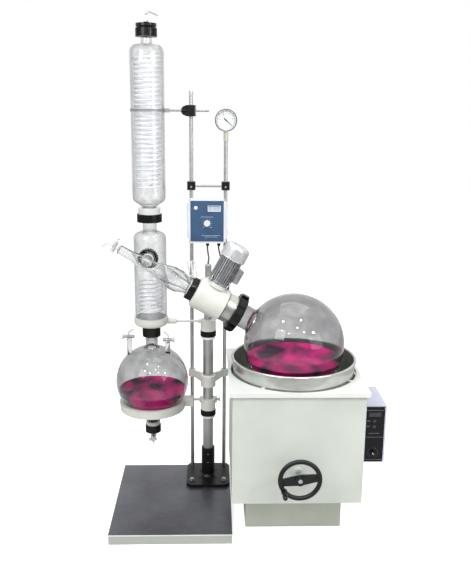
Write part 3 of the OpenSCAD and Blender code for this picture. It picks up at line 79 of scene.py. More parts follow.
def set_inputs(node, values):
    """Plain values for a node's inputs, by their names."""
    for key, value in values.items():
        node.inputs[key].default_value = value


def either_ray(tree, first, second):
    """1 for rays of two kinds, such as those from the camera, and 0 for the rest."""
    rays = add(tree, "ShaderNodeLightPath").outputs
    return add(
        tree, "ShaderNodeMath", {"operation": "MAXIMUM"}, {0: rays[first], 1: rays[second]}
    ).outputs[0]


def start(name):
    """A new material, its node tree, its shader and the object coordinates."""
    material = bpy.data.materials.new(name)
    material.use_nodes = True
    tree = material.node_tree
    return material, tree, tree.nodes["Principled BSDF"], add(tree, "ShaderNodeTexCoord").outputs["Object"]


def inside(tree, coords, low, high):
    """1 inside a box given in metres, 0 outside it. A limit of None is left open."""
    axes = add(tree, "ShaderNodeSeparateXYZ", links={0: coords}).outputs
    mask = None
    for axis, lo, hi in zip(axes, low, high):
        for operation, edge in (("GREATER_THAN", lo), ("LESS_THAN", hi)):
            if edge is None:
                continue
            test = add(tree, "ShaderNodeMath", {"operation": operation, 1: edge}, {0: axis}).outputs[0]
            mask = test if mask is None else add(
                tree, "ShaderNodeMath", {"operation": "MULTIPLY"}, {0: mask, 1: test}
            ).outputs[0]
    return mask


PATCH_SHARE, GRAIN_SHARE = 0.55, 0.45  # how far the soft patches and the grain each drive the tone
GRAIN_LIFT = 0.6  # strength of the grain's bump


def two_tones(tree, coords, light, dark, patch_mm, grain):
    """The light tone and the dark one in soft patches, broken up a little by the grain."""
    patches = add(tree, "ShaderNodeTexNoise", {"Scale": 1000 / patch_mm, "Detail": 3.0}, {"Vector": coords})
    fine = add(tree, "ShaderNodeMath", {"operation": "MULTIPLY", 1: GRAIN_SHARE}, {0: grain})
    blend = add(
        tree, "ShaderNodeMath", {"operation": "MULTIPLY_ADD", 1: PATCH_SHARE},
        {0: patches.outputs["Fac"], 2: fine.outputs[0]},
    )
    spread = add(
        tree, "ShaderNodeMapRange", {"From Min": 0.35, "From Max": 0.65}, {"Value": blend.outputs[0]}
    )
    tones = {"data_type": "RGBA", 6: linear(dark), 7: linear(light)}
    return add(tree, "ShaderNodeMix", tones, {0: spread.outputs[0]}).outputs[2]


def surface(name, light, dark, metallic=0.0, roughness=(0.4, 0.5), patch_mm=60, grain_mm=1.0,
            stretch=(1, 1, 1), bump_mm=0.05, coat=0.0, specular=0.5, parts=()):
    """An opaque finish: two tones in soft patches, a grain that bumps it, and other finishes in boxes.

    stretch lengthens the grain along an axis, as brushing does. Each of parts is a box's low and
    high corners, then its colour, metallic and roughness.
    """
    material, tree, shader, coords = start(name)
    across = [1 / s for s in stretch]
    placed = add(tree, "ShaderNodeMapping", {"Scale": across}, {"Vector": coords})
    grain = add(
        tree, "ShaderNodeTexNoise", {"Scale": 1000 / grain_mm, "Detail": 2.0}, {"Vector": placed.outputs[0]}
    ).outputs["Fac"]
    colour = two_tones(tree, coords, light, dark, patch_mm, grain)
    rough = add(
        tree, "ShaderNodeMapRange",
        {"From Min": 0.3, "From Max": 0.7, "To Min": roughness[0], "To Max": roughness[1]}, {"Value": grain},
    ).outputs[0]
    set_inputs(shader, {"Metallic": metallic, "Coat Weight": coat, "Specular IOR Level": specular})
    if parts:
        metal = add(tree, "ShaderNodeValue").outputs[0]
        metal.default_value = metallic
    for low, high, hex_code, part_metal, part_rough in parts:
        mask = inside(tree, coords, low, high)
        painted = {"data_type": "RGBA", 7: linear(hex_code)}
        colour = add(tree, "ShaderNodeMix", painted, {0: mask, 6: colour}).outputs[2]
        rough = add(
            tree, "ShaderNodeMix", {"data_type": "FLOAT", 3: part_rough}, {0: mask, 2: rough}
        ).outputs[0]
        metal = add(
            tree, "ShaderNodeMix", {"data_type": "FLOAT", 3: part_metal}, {0: mask, 2: metal}
        ).outputs[0]
    if parts:
        tree.links.new(metal, shader.inputs["Metallic"])
    tree.links.new(colour, shader.inputs["Base Color"])
    tree.links.new(rough, shader.inputs["Roughness"])
    raised = add(
        tree, "ShaderNodeBump", {"Strength": GRAIN_LIFT, "Distance": bump_mm / 1000}, {"Height": grain}
    )
    tree.links.new(raised.outputs[0], shader.inputs["Normal"])
    return material


EDGE_BLEND = 0.32  # how far in from a glass edge its darker tone reaches
LET_THROUGH = "#f5f5f7"  # what a lamp's light keeps of its colour behind glass


def clear(name, edge, thick, thin, ior, roughness=0.015, wave_mm=70, wave_height_mm=0.6,
          milk=0.0, gleam=1.0):
    """Glass: a darker edge, two tones where its wall is thicker and thinner, and slow waves.

    milk is the share of light that frosting scatters instead of passing, and gleam the strength
    of the reflections. Lamps shine through it, so that it casts only a faint shadow.
    """
    material, tree, shader, coords = start(name)
    waves = add(tree, "ShaderNodeTexNoise", {"Scale": 1000 / wave_mm, "Detail": 1.0}, {"Vector": coords})
    wall = add(
        tree, "ShaderNodeMapRange", {"From Min": 0.36, "From Max": 0.64}, {"Value": waves.outputs["Fac"]}
    )
    tint = add(
        tree, "ShaderNodeMix", {"data_type": "RGBA", 6: linear(thick), 7: linear(thin)}, {0: wall.outputs[0]}
    ).outputs[2]
    slant = add(tree, "ShaderNodeLayerWeight", {"Blend": EDGE_BLEND}).outputs["Facing"]
    tint = add(tree, "ShaderNodeMix", {"data_type": "RGBA", 7: linear(edge)}, {0: slant, 6: tint}).outputs[2]
    tree.links.new(tint, shader.inputs["Base Color"])
    raised = add(
        tree, "ShaderNodeBump", {"Strength": 0.5, "Distance": wave_height_mm / 1000},
        {"Height": waves.outputs["Fac"]},
    )
    tree.links.new(raised.outputs[0], shader.inputs["Normal"])
    set_inputs(shader, {"Roughness": roughness, "IOR": ior, "Transmission Weight": 1.0 - milk})
    set_inputs(shader, {"Specular Tint": (gleam, gleam, gleam, 1.0)})
    lamps = either_ray(tree, "Is Shadow Ray", "Is Diffuse Ray")
    let_through = add(tree, "ShaderNodeBsdfTransparent", {"Color": linear(LET_THROUGH)})
    both = add(
        tree, "ShaderNodeMixShader", links={0: lamps, 1: shader.outputs[0], 2: let_through.outputs[0]}
    )
    tree.links.new(both.outputs[0], tree.nodes["Material Output"].inputs["Surface"])
    return material


# ---- Materials ----

STEEL = dict(metallic=1.0, patch_mm=90)
# Polished stainless tube: turned and polished round, so the faint lines run round it.
post_steel = surface(
    "polished_stainless_tube", "#cbcecb", "#b5b8b5", roughness=(0.36, 0.42), grain_mm=4.0,
    stretch=(8, 8, 0.6), bump_mm=0.0004, **STEEL,
)
# Stainless fasteners: turned, a little duller than the tubes.
fastener_steel = surface(
    "turned_stainless_fastener", "#c9cbce", "#93979c", roughness=(0.24, 0.36), grain_mm=1.5, bump_mm=0.03,
    **STEEL,
)
ANYWHERE = (None, None, None)  # a corner that sets no limit
# Brushed stainless sheet of the floor plate: fine lines along its width on top, dull and pale on the
# faces folded down round it, a little greyer at the left and right, and a painted highlight along
# the top of the front fold.
PLATE_LEFT, PLATE_RIGHT, PLATE_FRONT, PLATE_BACK, FRONT_FOLD_HIGHLIGHT_Z = -0.4275, 0.1075, -0.5155, 0.1195, 0.0412
plate_steel = surface(
    "brushed_stainless_plate", "#74757b", "#55565c", roughness=(0.32, 0.42), grain_mm=1.6,
    stretch=(30, 1, 1), bump_mm=0.006, metallic=0.85, patch_mm=200,
    parts=[
        (ANYWHERE, (None, PLATE_FRONT, None), "#b7bbb4", 0.3, 0.42),
        ((None, PLATE_BACK, None), ANYWHERE, "#b7bbb4", 0.3, 0.42),
        (ANYWHERE, (PLATE_LEFT, None, None), "#b0b4ad", 0.3, 0.42),
        ((PLATE_RIGHT, None, None), ANYWHERE, "#b0b4ad", 0.3, 0.42),
        # painted highlight: a bright strip along the top of the front fold
        ((None, None, FRONT_FOLD_HIGHLIGHT_Z), (None, PLATE_FRONT, None), "#f1f3f1", 0.3, 0.35),
    ],
)
# Spun stainless pot: bright and smooth, with faint rings left by the spinning.
pot_steel = surface(
    "spun_stainless_pot", "#d3d6d1", "#b6bab4", metallic=0.85, roughness=(0.22, 0.27), patch_mm=90,
    grain_mm=3.0, stretch=(10, 10, 1), bump_mm=0.001,
)
# Black enamel on a sand casting: soft gloss over a coarse skin.
cast_black = surface(
    "black_enamel_casting", "#0d0d10", "#070709", roughness=(0.34, 0.5), patch_mm=40, grain_mm=2.2,
    bump_mm=0.12, specular=0.3,
)
# Ivory stoving enamel on sand castings: even colour, faint orange peel, soft gloss.
cream_enamel = surface(
    "ivory_enamel_casting", "#d8dad3", "#cacdc5", roughness=(0.28, 0.4), patch_mm=50, grain_mm=3.0,
    bump_mm=0.06, coat=0.2,
)
# Black nylon caps, moulded: semi matt with a fine spark texture.
black_nylon = surface(
    "moulded_black_nylon", "#0e0e11", "#070709", roughness=(0.2, 0.28), patch_mm=35, grain_mm=0.9,
    bump_mm=0.015, specular=0.4,
)
# White fluoropolymer seals and plugs, turned: waxy, nearly even.
white_polymer = surface(
    "turned_white_fluoropolymer", "#d9dbd8", "#c3c6c5", roughness=(0.35, 0.45), patch_mm=18, grain_mm=1.2,
    bump_mm=0.03,
)

ENAMEL = dict(roughness=(0.35, 0.5), patch_mm=30, grain_mm=1.5, bump_mm=0.06, specular=0.3)
CLAMP_BAR_X, CLAMP_SCREW_Y = 0.0605, 0.0655
# Cross clamps: castings in black enamel, half gloss, with a dull steel bar between them and bright
# screws in front.
clamp_black = surface(
    "black_clamps_on_a_steel_bar", "#0f0f12", "#08080a", **ENAMEL,
    parts=[
        ((-CLAMP_BAR_X, None, None), (CLAMP_BAR_X, None, None), "#a2a4a6", 0.7, 0.36),
        (ANYWHERE, (None, CLAMP_SCREW_Y, None), "#bcbfc2", 0.8, 0.34),
    ],
)
# Condenser clamp: a black enamel grip on a dull steel arm that ends in a grey band.
GRIP_LEFT, GRIP_RIGHT = -0.1238, -0.0615
band_black = surface(
    "black_clamp_and_grey_band", "#0f0f12", "#08080a", **ENAMEL,
    parts=[
        (ANYWHERE, (GRIP_LEFT, None, None), "#8f9194", 0.5, 0.4),
        ((GRIP_RIGHT, None, None), ANYWHERE, "#9a9c9e", 0.6, 0.4),
    ],
)
# Collar rings: knurled black nylon, half matt, over a turned white ring that looks waxy.
ring_tones = surface(
    "black_knurled_ring_over_white_ring", "#0e0e11", "#070709", roughness=(0.35, 0.45), patch_mm=30,
    grain_mm=1.0, bump_mm=0.04, specular=0.3,
    parts=[
        ((None, None, 0.36), (None, None, 0.382), "#eef0ec", 0.0, 0.4),
        ((None, None, 0.76), (None, None, 0.785), "#eef0ec", 0.0, 0.4),
    ],
)
# Gauge case: steel stoved dark grey, half matt, over a plated brass socket, pale and warm.
SOCKET_TOP_Z = 1.742
gauge_metal = surface(
    "black_case_on_a_brass_socket", "#4b4d53", "#3f4147", roughness=(0.45, 0.55), patch_mm=30, grain_mm=1.2,
    bump_mm=0.02, specular=0.35, parts=[(ANYWHERE, (None, None, SOCKET_TOP_Z), "#c4c1b4", 0.5, 0.38)],
)
# Gauge dial: card printed white, matt and even.
dial_white = surface(
    "printed_white_dial", "#f7f8f6", "#eceeec", roughness=(0.45, 0.55), patch_mm=30, grain_mm=0.8,
    bump_mm=0.01,
)
# Gauge needle: pressed brass lacquered black, smooth and thin.
needle_black = surface(
    "black_lacquered_needle", "#17171a", "#0c0c0e", roughness=(0.3, 0.4), patch_mm=10, grain_mm=0.6,
    bump_mm=0.01,
)
# Controller case: white ABS, moulded, with a soft gloss and a fine spark texture.
case_white = surface(
    "white_moulded_case", "#e4e7ea", "#d6dade", roughness=(0.3, 0.4), patch_mm=60, grain_mm=1.0, bump_mm=0.05,
    coat=0.1,
)
# Controller front: film printed blue behind, satin and even, with a paler window for the display.
panel_blue = surface(
    "blue_printed_panel", "#405a7c", "#36506f", roughness=(0.36, 0.46), patch_mm=45, grain_mm=0.8,
    bump_mm=0.01, specular=0.3, parts=[((-0.008, None, 1.35), (0.09, 0.0155, 1.4), "#bcc6d6", 0.0, 0.3)],
)
# Speed knob: pale ABS, moulded smooth, with a soft gloss.
knob_pale = surface(
    "pale_moulded_knob", "#e3e6ec", "#cdd2da", roughness=(0.28, 0.4), patch_mm=12, grain_mm=0.6, bump_mm=0.02
)
# Leads: extruded grey rubber, matt.
lead_rubber = surface(
    "grey_rubber_sheath", "#4f5157", "#3a3c41", roughness=(0.5, 0.65), patch_mm=25, grain_mm=0.8, bump_mm=0.05
)
# Motor body: die-cast aluminium in silver grey lacquer, with a metal sheen on its fins.
fin_lacquer = surface(
    "silver_grey_lacquered_fins", "#c3c4c7", "#85878b", metallic=0.75, roughness=(0.28, 0.36), patch_mm=30,
    grain_mm=1.4, bump_mm=0.03,
)
# Motor cover: pressed sheet in a paler silver lacquer, smoother than the casting.
cover_silver = surface(
    "silver_lacquered_fan_cover", "#d4d5d6", "#bcbec0", metallic=0.45, roughness=(0.32, 0.4), patch_mm=40,
    grain_mm=1.2, bump_mm=0.02, coat=0.1,
)
# Shafts and drive ring bands: ground steel, bright and nearly smooth.
shaft_steel = surface(
    "ground_steel_shaft", "#dcdad4", "#b9b8b3", roughness=(0.26, 0.36), grain_mm=1.2, bump_mm=0.004, **STEEL
)
# Crown gear: bronze, cut, so it is warm and bright with a fine grain.
gear_bronze = surface(
    "cut_bronze_gear", "#b98f55", "#8f6b3a", metallic=1.0, roughness=(0.25, 0.4), patch_mm=30, grain_mm=1.2,
    bump_mm=0.05,
)
POWDER = dict(grain_mm=1.6, bump_mm=0.07)
# Bath box: folded steel sheet in a pale grey powder coat, satin with a faint orange peel.
box_powder = surface(
    "pale_grey_powder_coat", "#cacfc9", "#bfc4bd", roughness=(0.36, 0.48), patch_mm=180, **POWDER
)
# Bath plinth: folded sheet in a grey green powder coat, more matt.
plinth_powder = surface(
    "grey_green_powder_coat", "#bfc3b8", "#aeb3a7", roughness=(0.42, 0.55), patch_mm=150, **POWDER
)
# Bath lid: pressed sheet in a white powder coat, satin.
lid_powder = surface(
    "white_powder_coat", "#e0e2df", "#d6d8d5", roughness=(0.34, 0.45), patch_mm=160, **POWDER
)
# Lift frame: welded steel, brush painted grey, dull and a little uneven.
frame_paint = surface(
    "grey_painted_frame", "#8e9196", "#75787d", roughness=(0.45, 0.6), patch_mm=60, grain_mm=2.0, bump_mm=0.1
)
# Handwheel: black bakelite, moulded, with a soft gloss, on a bright steel shaft and screw.
WHEEL_FACE_Y, WHEEL_BACK_Y, SHAFT_END_Y = -0.5951, -0.583, -0.44
wheel_bakelite = surface(
    "black_moulded_wheel", "#131418", "#0b0c0e", roughness=(0.28, 0.38), patch_mm=50, grain_mm=1.0,
    bump_mm=0.03, specular=0.4,
    parts=[
        ((0.374, None, 0.328), (0.398, WHEEL_FACE_Y, 0.352), "#c3c5c8", 1.0, 0.25),
        ((None, WHEEL_BACK_Y, None), (None, SHAFT_END_Y, None), "#b4b7ba", 1.0, 0.3),
    ],
)
# Hand grip and bath knob: black ABS, moulded smooth, with a soft gloss.
grip_black = surface(
    "black_moulded_grip", "#141417", "#0a0a0c", roughness=(0.3, 0.4), patch_mm=20, grain_mm=0.8, bump_mm=0.03,
    specular=0.4,
)
# Control box: folded sheet in a lavender powder coat, satin, with a black printed panel in front.
control_lavender = surface(
    "lavender_powder_coat_and_black_panel", "#c9cbdc", "#babccf", roughness=(0.4, 0.5), patch_mm=90,
    grain_mm=1.4, bump_mm=0.05, specular=0.3,
    parts=[(ANYWHERE, (0.7615, -0.44005, None), "#0c0c11", 0.0, 0.34)],
)
# Buttons: dark grey silicone rubber, moulded, satin.
button_grey = surface(
    "grey_moulded_button", "#43444b", "#33343a", roughness=(0.35, 0.45), patch_mm=6, grain_mm=0.5,
    bump_mm=0.02,
)

# Flasks: borosilicate glass, blown, thick, so it looks pale grey with a dark edge.
flask_glass = clear("blown_borosilicate_flask", "#747678", "#c9cacb", "#dcdddd", 1.47, gleam=0.55)
# Duct and condensers: borosilicate glass, drawn, thin and clear but for its dark edges.
tube_glass = clear(
    "drawn_borosilicate_tube", "#6f7275", "#f0f1f1", "#fcfdfd", 1.47, wave_mm=34, wave_height_mm=0.24,
    gleam=0.9,
)
# Valves: borosilicate glass, pressed, so thick for its size that it looks grey.
valve_glass = clear(
    "pressed_borosilicate_valve", "#7c7f82", "#b9bcbe", "#cfd2d4", 1.47, wave_mm=12, wave_height_mm=0.1,
    gleam=0.8,
)
# Cooling coils: thin drawn tube, made white and dull by the mist on it.
coil_glass = clear(
    "drawn_borosilicate_coil", "#e4e6e8", "#f3f4f5", "#fcfdfd", 1.4, roughness=0.2, wave_mm=20,
    wave_height_mm=0.05, milk=0.85, gleam=0.8,
)

FINISHES = {
    post_steel: "main_post inner_post left_rod right_rod", fastener_steel: "foot_bolts",
    plate_steel: "base_plate", pot_steel: "bath_pot", cast_black: "post_foot", clamp_black: "cross_clamps",
    band_black: "condenser_clamp",
    cream_enamel: "top_collar lower_collar rod_bracket head_housing head_bracket column_ring receiver_ring",
    ring_tones: "collar_rings", black_nylon: "cable_glands duct_nut flask_nut column_nuts",
    gauge_metal: "gauge_case", dial_white: "gauge_dial", needle_black: "gauge_needle",
    case_white: "controller_case", panel_blue: "controller_panel", knob_pale: "speed_knob",
    lead_rubber: "controller_leads", shaft_steel: "drive_shaft pinion_shaft", fin_lacquer: "motor_body",
    cover_silver: "motor_cover",
    white_polymer: "feed_key column_gaskets vent_key receiver_key_left receiver_key_right drain_key",
    flask_glass: "rotary_flask receiver_flask", tube_glass: "vapour_duct lower_condenser upper_condenser",
    valve_glass: "vent_valve drain_valve", coil_glass: "lower_coil upper_coil", plinth_powder: "bath_plinth",
    box_powder: "bath_box", lid_powder: "bath_lid", frame_paint: "lift_platform lift_frame",
    gear_bronze: "crown_gear", wheel_bakelite: "handwheel", grip_black: "hand_grip bath_knob",
    control_lavender: "control_box", button_grey: "up_button down_button",
}
for finish, names in FINISHES.items():
    for name in names.split():
        mesh = NODES[name].data
        mesh.materials.clear()
        mesh.materials.append(finish)


# ---- Mesh helpers ----

SHARP_EDGE = math.radians(38)
POLE = 1e-7  # a smaller radius is a point on the axis


def piece(name, mesh, material, body):
    """An object for a finished mesh, with its finish and its body."""
    if isinstance(mesh, bmesh.types.BMesh):
        built = bpy.data.meshes.new(name)
        mesh.to_mesh(built)
        mesh.free()
        mesh = built
        mesh.set_sharp_from_angle(angle=SHARP_EDGE)
    made = bpy.data.objects.new(name, mesh)
    scene.collection.objects.link(made)
    made.data.materials.clear()
    made.data.materials.append(material)
    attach(made, body)
    return made


def revolve(profile, steps=64, centre=(0, 0, 0), direction=(0, 0, 1)):
    """A closed solid turned from a closed list of (radius, height) points round a direction."""
    solid = bmesh.new()
    turn = Vector((0, 0, 1)).rotation_difference(Vector(direction)).to_matrix().to_4x4()
    place = Matrix.Translation(Vector(centre)) @ turn
    rings = []
    for radius, height in profile:
        if radius < POLE:
            rings.append([solid.verts.new(place @ Vector((0, 0, height)))] * steps)
            continue
        ring = []
        for i in range(steps):
            angle = 2 * math.pi * i / steps
            point = Vector((radius * math.cos(angle), radius * math.sin(angle), height))
            ring.append(solid.verts.new(place @ point))
        rings.append(ring)
    for a, b in zip(rings, rings[1:] + rings[:1]):
        for i in range(steps):
            j = (i + 1) % steps
            corners = list(dict.fromkeys([a[i], a[j], b[j], b[i]]))
            if len(corners) > 2:
                solid.faces.new(corners)
    bmesh.ops.recalc_face_normals(solid, faces=solid.faces)
    for face in solid.faces:
        face.smooth = True
    return solid


# ---- Liquids ----

# Dyed solvent: deep magenta, with painted shade in darker patches that are taller than they are wide.
SHADE_PATCH_MM = 111.1  # size of a patch across, and more than that down
dyed, dye_tree, dye_shader, dye_coords = start("magenta_solvent_with_painted_shade")
tall = add(dye_tree, "ShaderNodeMapping", {"Scale": (1.0, 0.6, 0.3)}, {"Vector": dye_coords})
shade_patches = add(
    dye_tree, "ShaderNodeTexNoise", {"Scale": 1000 / SHADE_PATCH_MM, "Detail": 1.0, "Distortion": 0.2},
    {"Vector": tall.outputs[0]},
)
shade_patches_range = add(
    dye_tree, "ShaderNodeMapRange", {"From Min": 0.4, "From Max": 0.63}, {"Value": shade_patches.outputs["Fac"]}
)
# painted shade: the dark tone of the patches, over the bright magenta of the dye
dye_and_shade = add(
    dye_tree, "ShaderNodeMix", {"data_type": "RGBA", 6: linear("#331230"), 7: linear("#ea1288")},
    {0: shade_patches_range.outputs[0]},
)
dye_tree.links.new(dye_and_shade.outputs[2], dye_shader.inputs["Base Color"])
set_inputs(dye_shader, {"Roughness": 0.06, "IOR": 1.36, "Specular IOR Level": 0.1})


CURL = 0.0022  # how far the liquid's surface climbs the glass


def liquid(name, centre, radius, level):
    """The cap of a sphere below a level, with its surface curling up the glass at the edge."""
    brim_angle = math.asin((level - centre[2]) / radius)
    arc_steps = 28
    profile = [(0.0, -radius)]
    for i in range(1, arc_steps + 1):
        angle = -math.pi / 2 + (brim_angle + math.pi / 2) * i / arc_steps
        profile.append((radius * math.cos(angle), radius * math.sin(angle)))
    brim_r, brim_h = profile[-1]
    profile += [(brim_r - 0.002, brim_h - 0.0012), (brim_r - 0.006, brim_h - CURL), (0.0, brim_h - CURL)]
    piece(name, revolve(profile, 96, centre), dyed, "stand")


FLASK_BORE, FLASK_LEVEL = 0.2194, 0.754
RECEIVER_BORE, RECEIVER_LEVEL = 0.1674, 0.52
liquid("flask_liquid", FLASK, FLASK_BORE, FLASK_LEVEL)
liquid("receiver_liquid", RECEIVER, RECEIVER_BORE, RECEIVER_LEVEL)

# ---- Repeats made by Geometry Nodes ----


def repeat_tree():
    """Repeats the object's own mesh round an arc or along a line, as one real mesh."""
    tree = bpy.data.node_groups.new("repeat_round_or_along", "GeometryNodeTree")
    sockets = {}
    tree.interface.new_socket("Item", in_out="INPUT", socket_type="NodeSocketGeometry")
    for label, kind, value in (
        ("Count", "NodeSocketInt", 8), ("Radius", "NodeSocketFloat", 0.0),
        ("First angle", "NodeSocketFloat", 0.0), ("Angle step", "NodeSocketFloat", 0.0),
        ("Step", "NodeSocketVector", (0, 0, 0)), ("Finish", "NodeSocketMaterial", None),
    ):
        made = tree.interface.new_socket(label, in_out="INPUT", socket_type=kind)
        if value is not None:
            made.default_value = value
        sockets[label] = made.identifier
    tree.interface.new_socket("Result", in_out="OUTPUT", socket_type="NodeSocketGeometry")
    given = add(tree, "NodeGroupInput").outputs
    index = add(tree, "GeometryNodeInputIndex").outputs[0]
    points = add(tree, "GeometryNodePoints", links={"Count": given["Count"]}).outputs[0]
    turned = add(
        tree, "ShaderNodeMath", {"operation": "MULTIPLY_ADD"},
        {0: index, 1: given["Angle step"], 2: given["First angle"]},
    ).outputs[0]
    cos = add(tree, "ShaderNodeMath", {"operation": "COSINE"}, {0: turned}).outputs[0]
    sin = add(tree, "ShaderNodeMath", {"operation": "SINE"}, {0: turned}).outputs[0]
    unit = add(tree, "ShaderNodeCombineXYZ", links={0: cos, 1: sin}).outputs[0]
    round_it = add(
        tree, "ShaderNodeVectorMath", {"operation": "SCALE"}, {0: unit, "Scale": given["Radius"]}
    ).outputs[0]
    along = add(
        tree, "ShaderNodeVectorMath", {"operation": "SCALE"}, {0: given["Step"], "Scale": index}
    ).outputs[0]
    place = add(tree, "ShaderNodeVectorMath", {"operation": "ADD"}, {0: round_it, 1: along}).outputs[0]
    set_out = add(tree, "GeometryNodeSetPosition", links={"Geometry": points, "Position": place}).outputs[0]
    outward = add(tree, "ShaderNodeCombineXYZ", links={2: turned}).outputs[0]
    copies = add(
        tree, "GeometryNodeInstanceOnPoints",
        links={"Points": set_out, "Instance": given["Item"], "Rotation": outward},
    ).outputs[0]
    real = add(tree, "GeometryNodeRealizeInstances", links={0: copies}).outputs[0]
    finished = add(
        tree, "GeometryNodeSetMaterial", links={"Geometry": real, "Material": given["Finish"]}
    ).outputs[0]
    add(tree, "NodeGroupOutput", links={0: finished})
    return tree, sockets


REPEAT, REPEAT_INPUTS = repeat_tree()


def repeated(item, material, place, count, radius=0.0, first=0.0, step_angle=0.0, step=(0, 0, 0)):
    """The mesh of one item repeated by the tree, then put in place by a matrix."""
    data = bpy.data.meshes.new("item")
    item.to_mesh(data)
    item.free()
    holder = bpy.data.objects.new("item", data)
    scene.collection.objects.link(holder)
    modifier = holder.modifiers.new("repeat", "NODES")
    modifier.node_group = REPEAT
    for label, value in (
        ("Count", count), ("Radius", radius), ("First angle", first), ("Angle step", step_angle),
        ("Step", step), ("Finish", material),
    ):
        modifier[REPEAT_INPUTS[label]] = value
    graph = bpy.context.evaluated_depsgraph_get()
    result = bpy.data.meshes.new_from_object(holder.evaluated_get(graph))
    result.transform(place)
    bpy.data.objects.remove(holder)
    return result


def facing(place, normal, upward=(0, 0, 1)):
    """A matrix whose z is the normal and whose y is as near upward as it can be, at a place."""
    z = Vector(normal).normalized()
    x = Vector(upward).cross(z).normalized()
    return Matrix.Translation(Vector(place)) @ Matrix((x, z.cross(x), z)).transposed().to_4x4()


def bar(size, centre=(0, 0, 0), bevel=0.0):
    """A box with bevelled edges."""
    solid = bmesh.new()
    bmesh.ops.create_cube(solid, size=1.0)
    bmesh.ops.scale(solid, vec=size, verts=solid.verts)
    bmesh.ops.translate(solid, vec=centre, verts=solid.verts)
    if bevel:
        bmesh.ops.bevel(solid, geom=solid.edges, offset=bevel, segments=2, affect="EDGES", profile=0.6)
    return solid


PRINT, PRINT_LIFT = 0.0003, 0.0001  # how thick a printed mark is, and how high its middle lies


def mark(width, height, x=0.0, y=0.0):
    """One printed mark, flat on z = 0."""
    return bar((width, height, PRINT), (x, y, PRINT_LIFT))


def pan_screw(radius):
    """The head of a pan screw with a round recess, up z."""
    # In head radii, from the middle of the seat.
    outline = ((0, 0), (1, 0), (1, 0.28), (0.82, 0.52), (0.34, 0.6), (0.3, 0.36), (0, 0.32))
    return revolve([(radius * r, radius * h) for r, h in outline], 16)


def loop_tube(path, radius, sides):
    """A round tube through the points of a closed loop."""
    solid = bmesh.new()
    rings = []
    side = None
    for i, point in enumerate(path):
        way = (path[(i + 1) % len(path)] - path[i - 1]).normalized()
        if side is None:
            side = way.orthogonal().normalized()
        side = (side - way * side.dot(way)).normalized()
        other = way.cross(side)
        ring = []
        for k in range(sides):
            angle = 2 * math.pi * k / sides
            outward = math.cos(angle) * side + math.sin(angle) * other
            ring.append(solid.verts.new(point + radius * outward))
        rings.append(ring)
    for a, b in zip(rings, rings[1:] + rings[:1]):
        for k in range(sides):
            solid.faces.new([a[k], a[(k + 1) % sides], b[(k + 1) % sides], b[k]])
    bmesh.ops.recalc_face_normals(solid, faces=solid.faces)
    for face in solid.faces:
        face.smooth = True
    return solid


def words(text, height, place):
    """Raised print: plain words and numbers only."""
    curve = bpy.data.curves.new("print", "FONT")
    curve.body = text
    curve.size = height
    curve.align_x = "CENTER"
    curve.align_y = "CENTER"
    curve.extrude = PRINT
    curve.resolution_u = 3
    holder = bpy.data.objects.new("print", curve)
    scene.collection.objects.link(holder)
    graph = bpy.context.evaluated_depsgraph_get()
    result = bpy.data.meshes.new_from_object(holder.evaluated_get(graph))
    result.transform(place)
    bpy.data.objects.remove(holder)
    return result


def joined(*meshes):
    """Several meshes as one."""
    solid = bmesh.new()
    for part in meshes:
        if isinstance(part, bmesh.types.BMesh):
            data = bpy.data.meshes.new("part")
            part.to_mesh(data)
            part.free()
            part = data
        solid.from_mesh(part)
    return solid


def placed(solid, matrix):
    """The solid, moved by a matrix."""
    bmesh.ops.transform(solid, matrix=matrix, verts=solid.verts)
    return solid


def screws(name, radius, places):
    """One piece with a pan screw at each place, given as a matrix."""
    heads = [placed(pan_screw(radius), place) for place in places]
    piece(name, joined(*heads), fastener_steel, "stand")


# ---- Print and film of the small marks ----

INK = dict(roughness=(0.5, 0.6), patch_mm=10, grain_mm=0.4, bump_mm=0.005)
FILM = dict(roughness=(0.15, 0.2), patch_mm=14, grain_mm=0.5, bump_mm=0.004)
# Black print of the dial: screen ink, matt and even.
ink_black = surface("black_printed_marks", "#1b1b1e", "#101012", **INK)
# White print of the blue front: screen ink, matt and even.
ink_white = surface("white_printed_marks", "#eef1f6", "#dfe4ec", **INK)
# Print of the bath's panel: screen ink in grey, matt and even.
ink_grey = surface("grey_printed_marks", "#9a9ca3", "#85878e", **INK)
# Controller digits: segments under smooth film, darker than the window.
display_grey = surface("grey_display_film", "#8f98a6", "#7b8492", **FILM)
# Window of the bath's panel: smoked film, smooth and dark.
display_dark = surface("dark_display_film", "#3a3c44", "#2c2e35", **FILM)
# Gauge lens: float glass, flat and nearly clear.
lens_glass = clear(
    "flat_cover_glass", "#e4e8e8", "#f7f9f9", "#fcfdfd", 1.5, roughness=0.01, wave_mm=60, wave_height_mm=0.02
)

# ---- Gauge ----

GAUGE = Vector((POST_X, 0.08, 1.789))  # middle of the dial's face
BEZEL = GAUGE + 0.007 * FORWARD
GLASS_RADIUS = 0.0448
SCALE_START, SCALE_SWEEP = math.radians(-42), math.radians(264)
NUMBER_RADIUS, NUMBER_HEIGHT = 0.03, 0.007
dial_plane = facing(GAUGE + PRINT_LIFT * FORWARD, FORWARD)


def dial_marks(name, length, width, radius, count):
    """Marks printed at even steps along the dial's scale."""
    marks = repeated(
        mark(length, width), ink_black, dial_plane, count, radius, SCALE_START, SCALE_SWEEP / (count - 1)
    )
    piece(name, marks, ink_black, "stand")


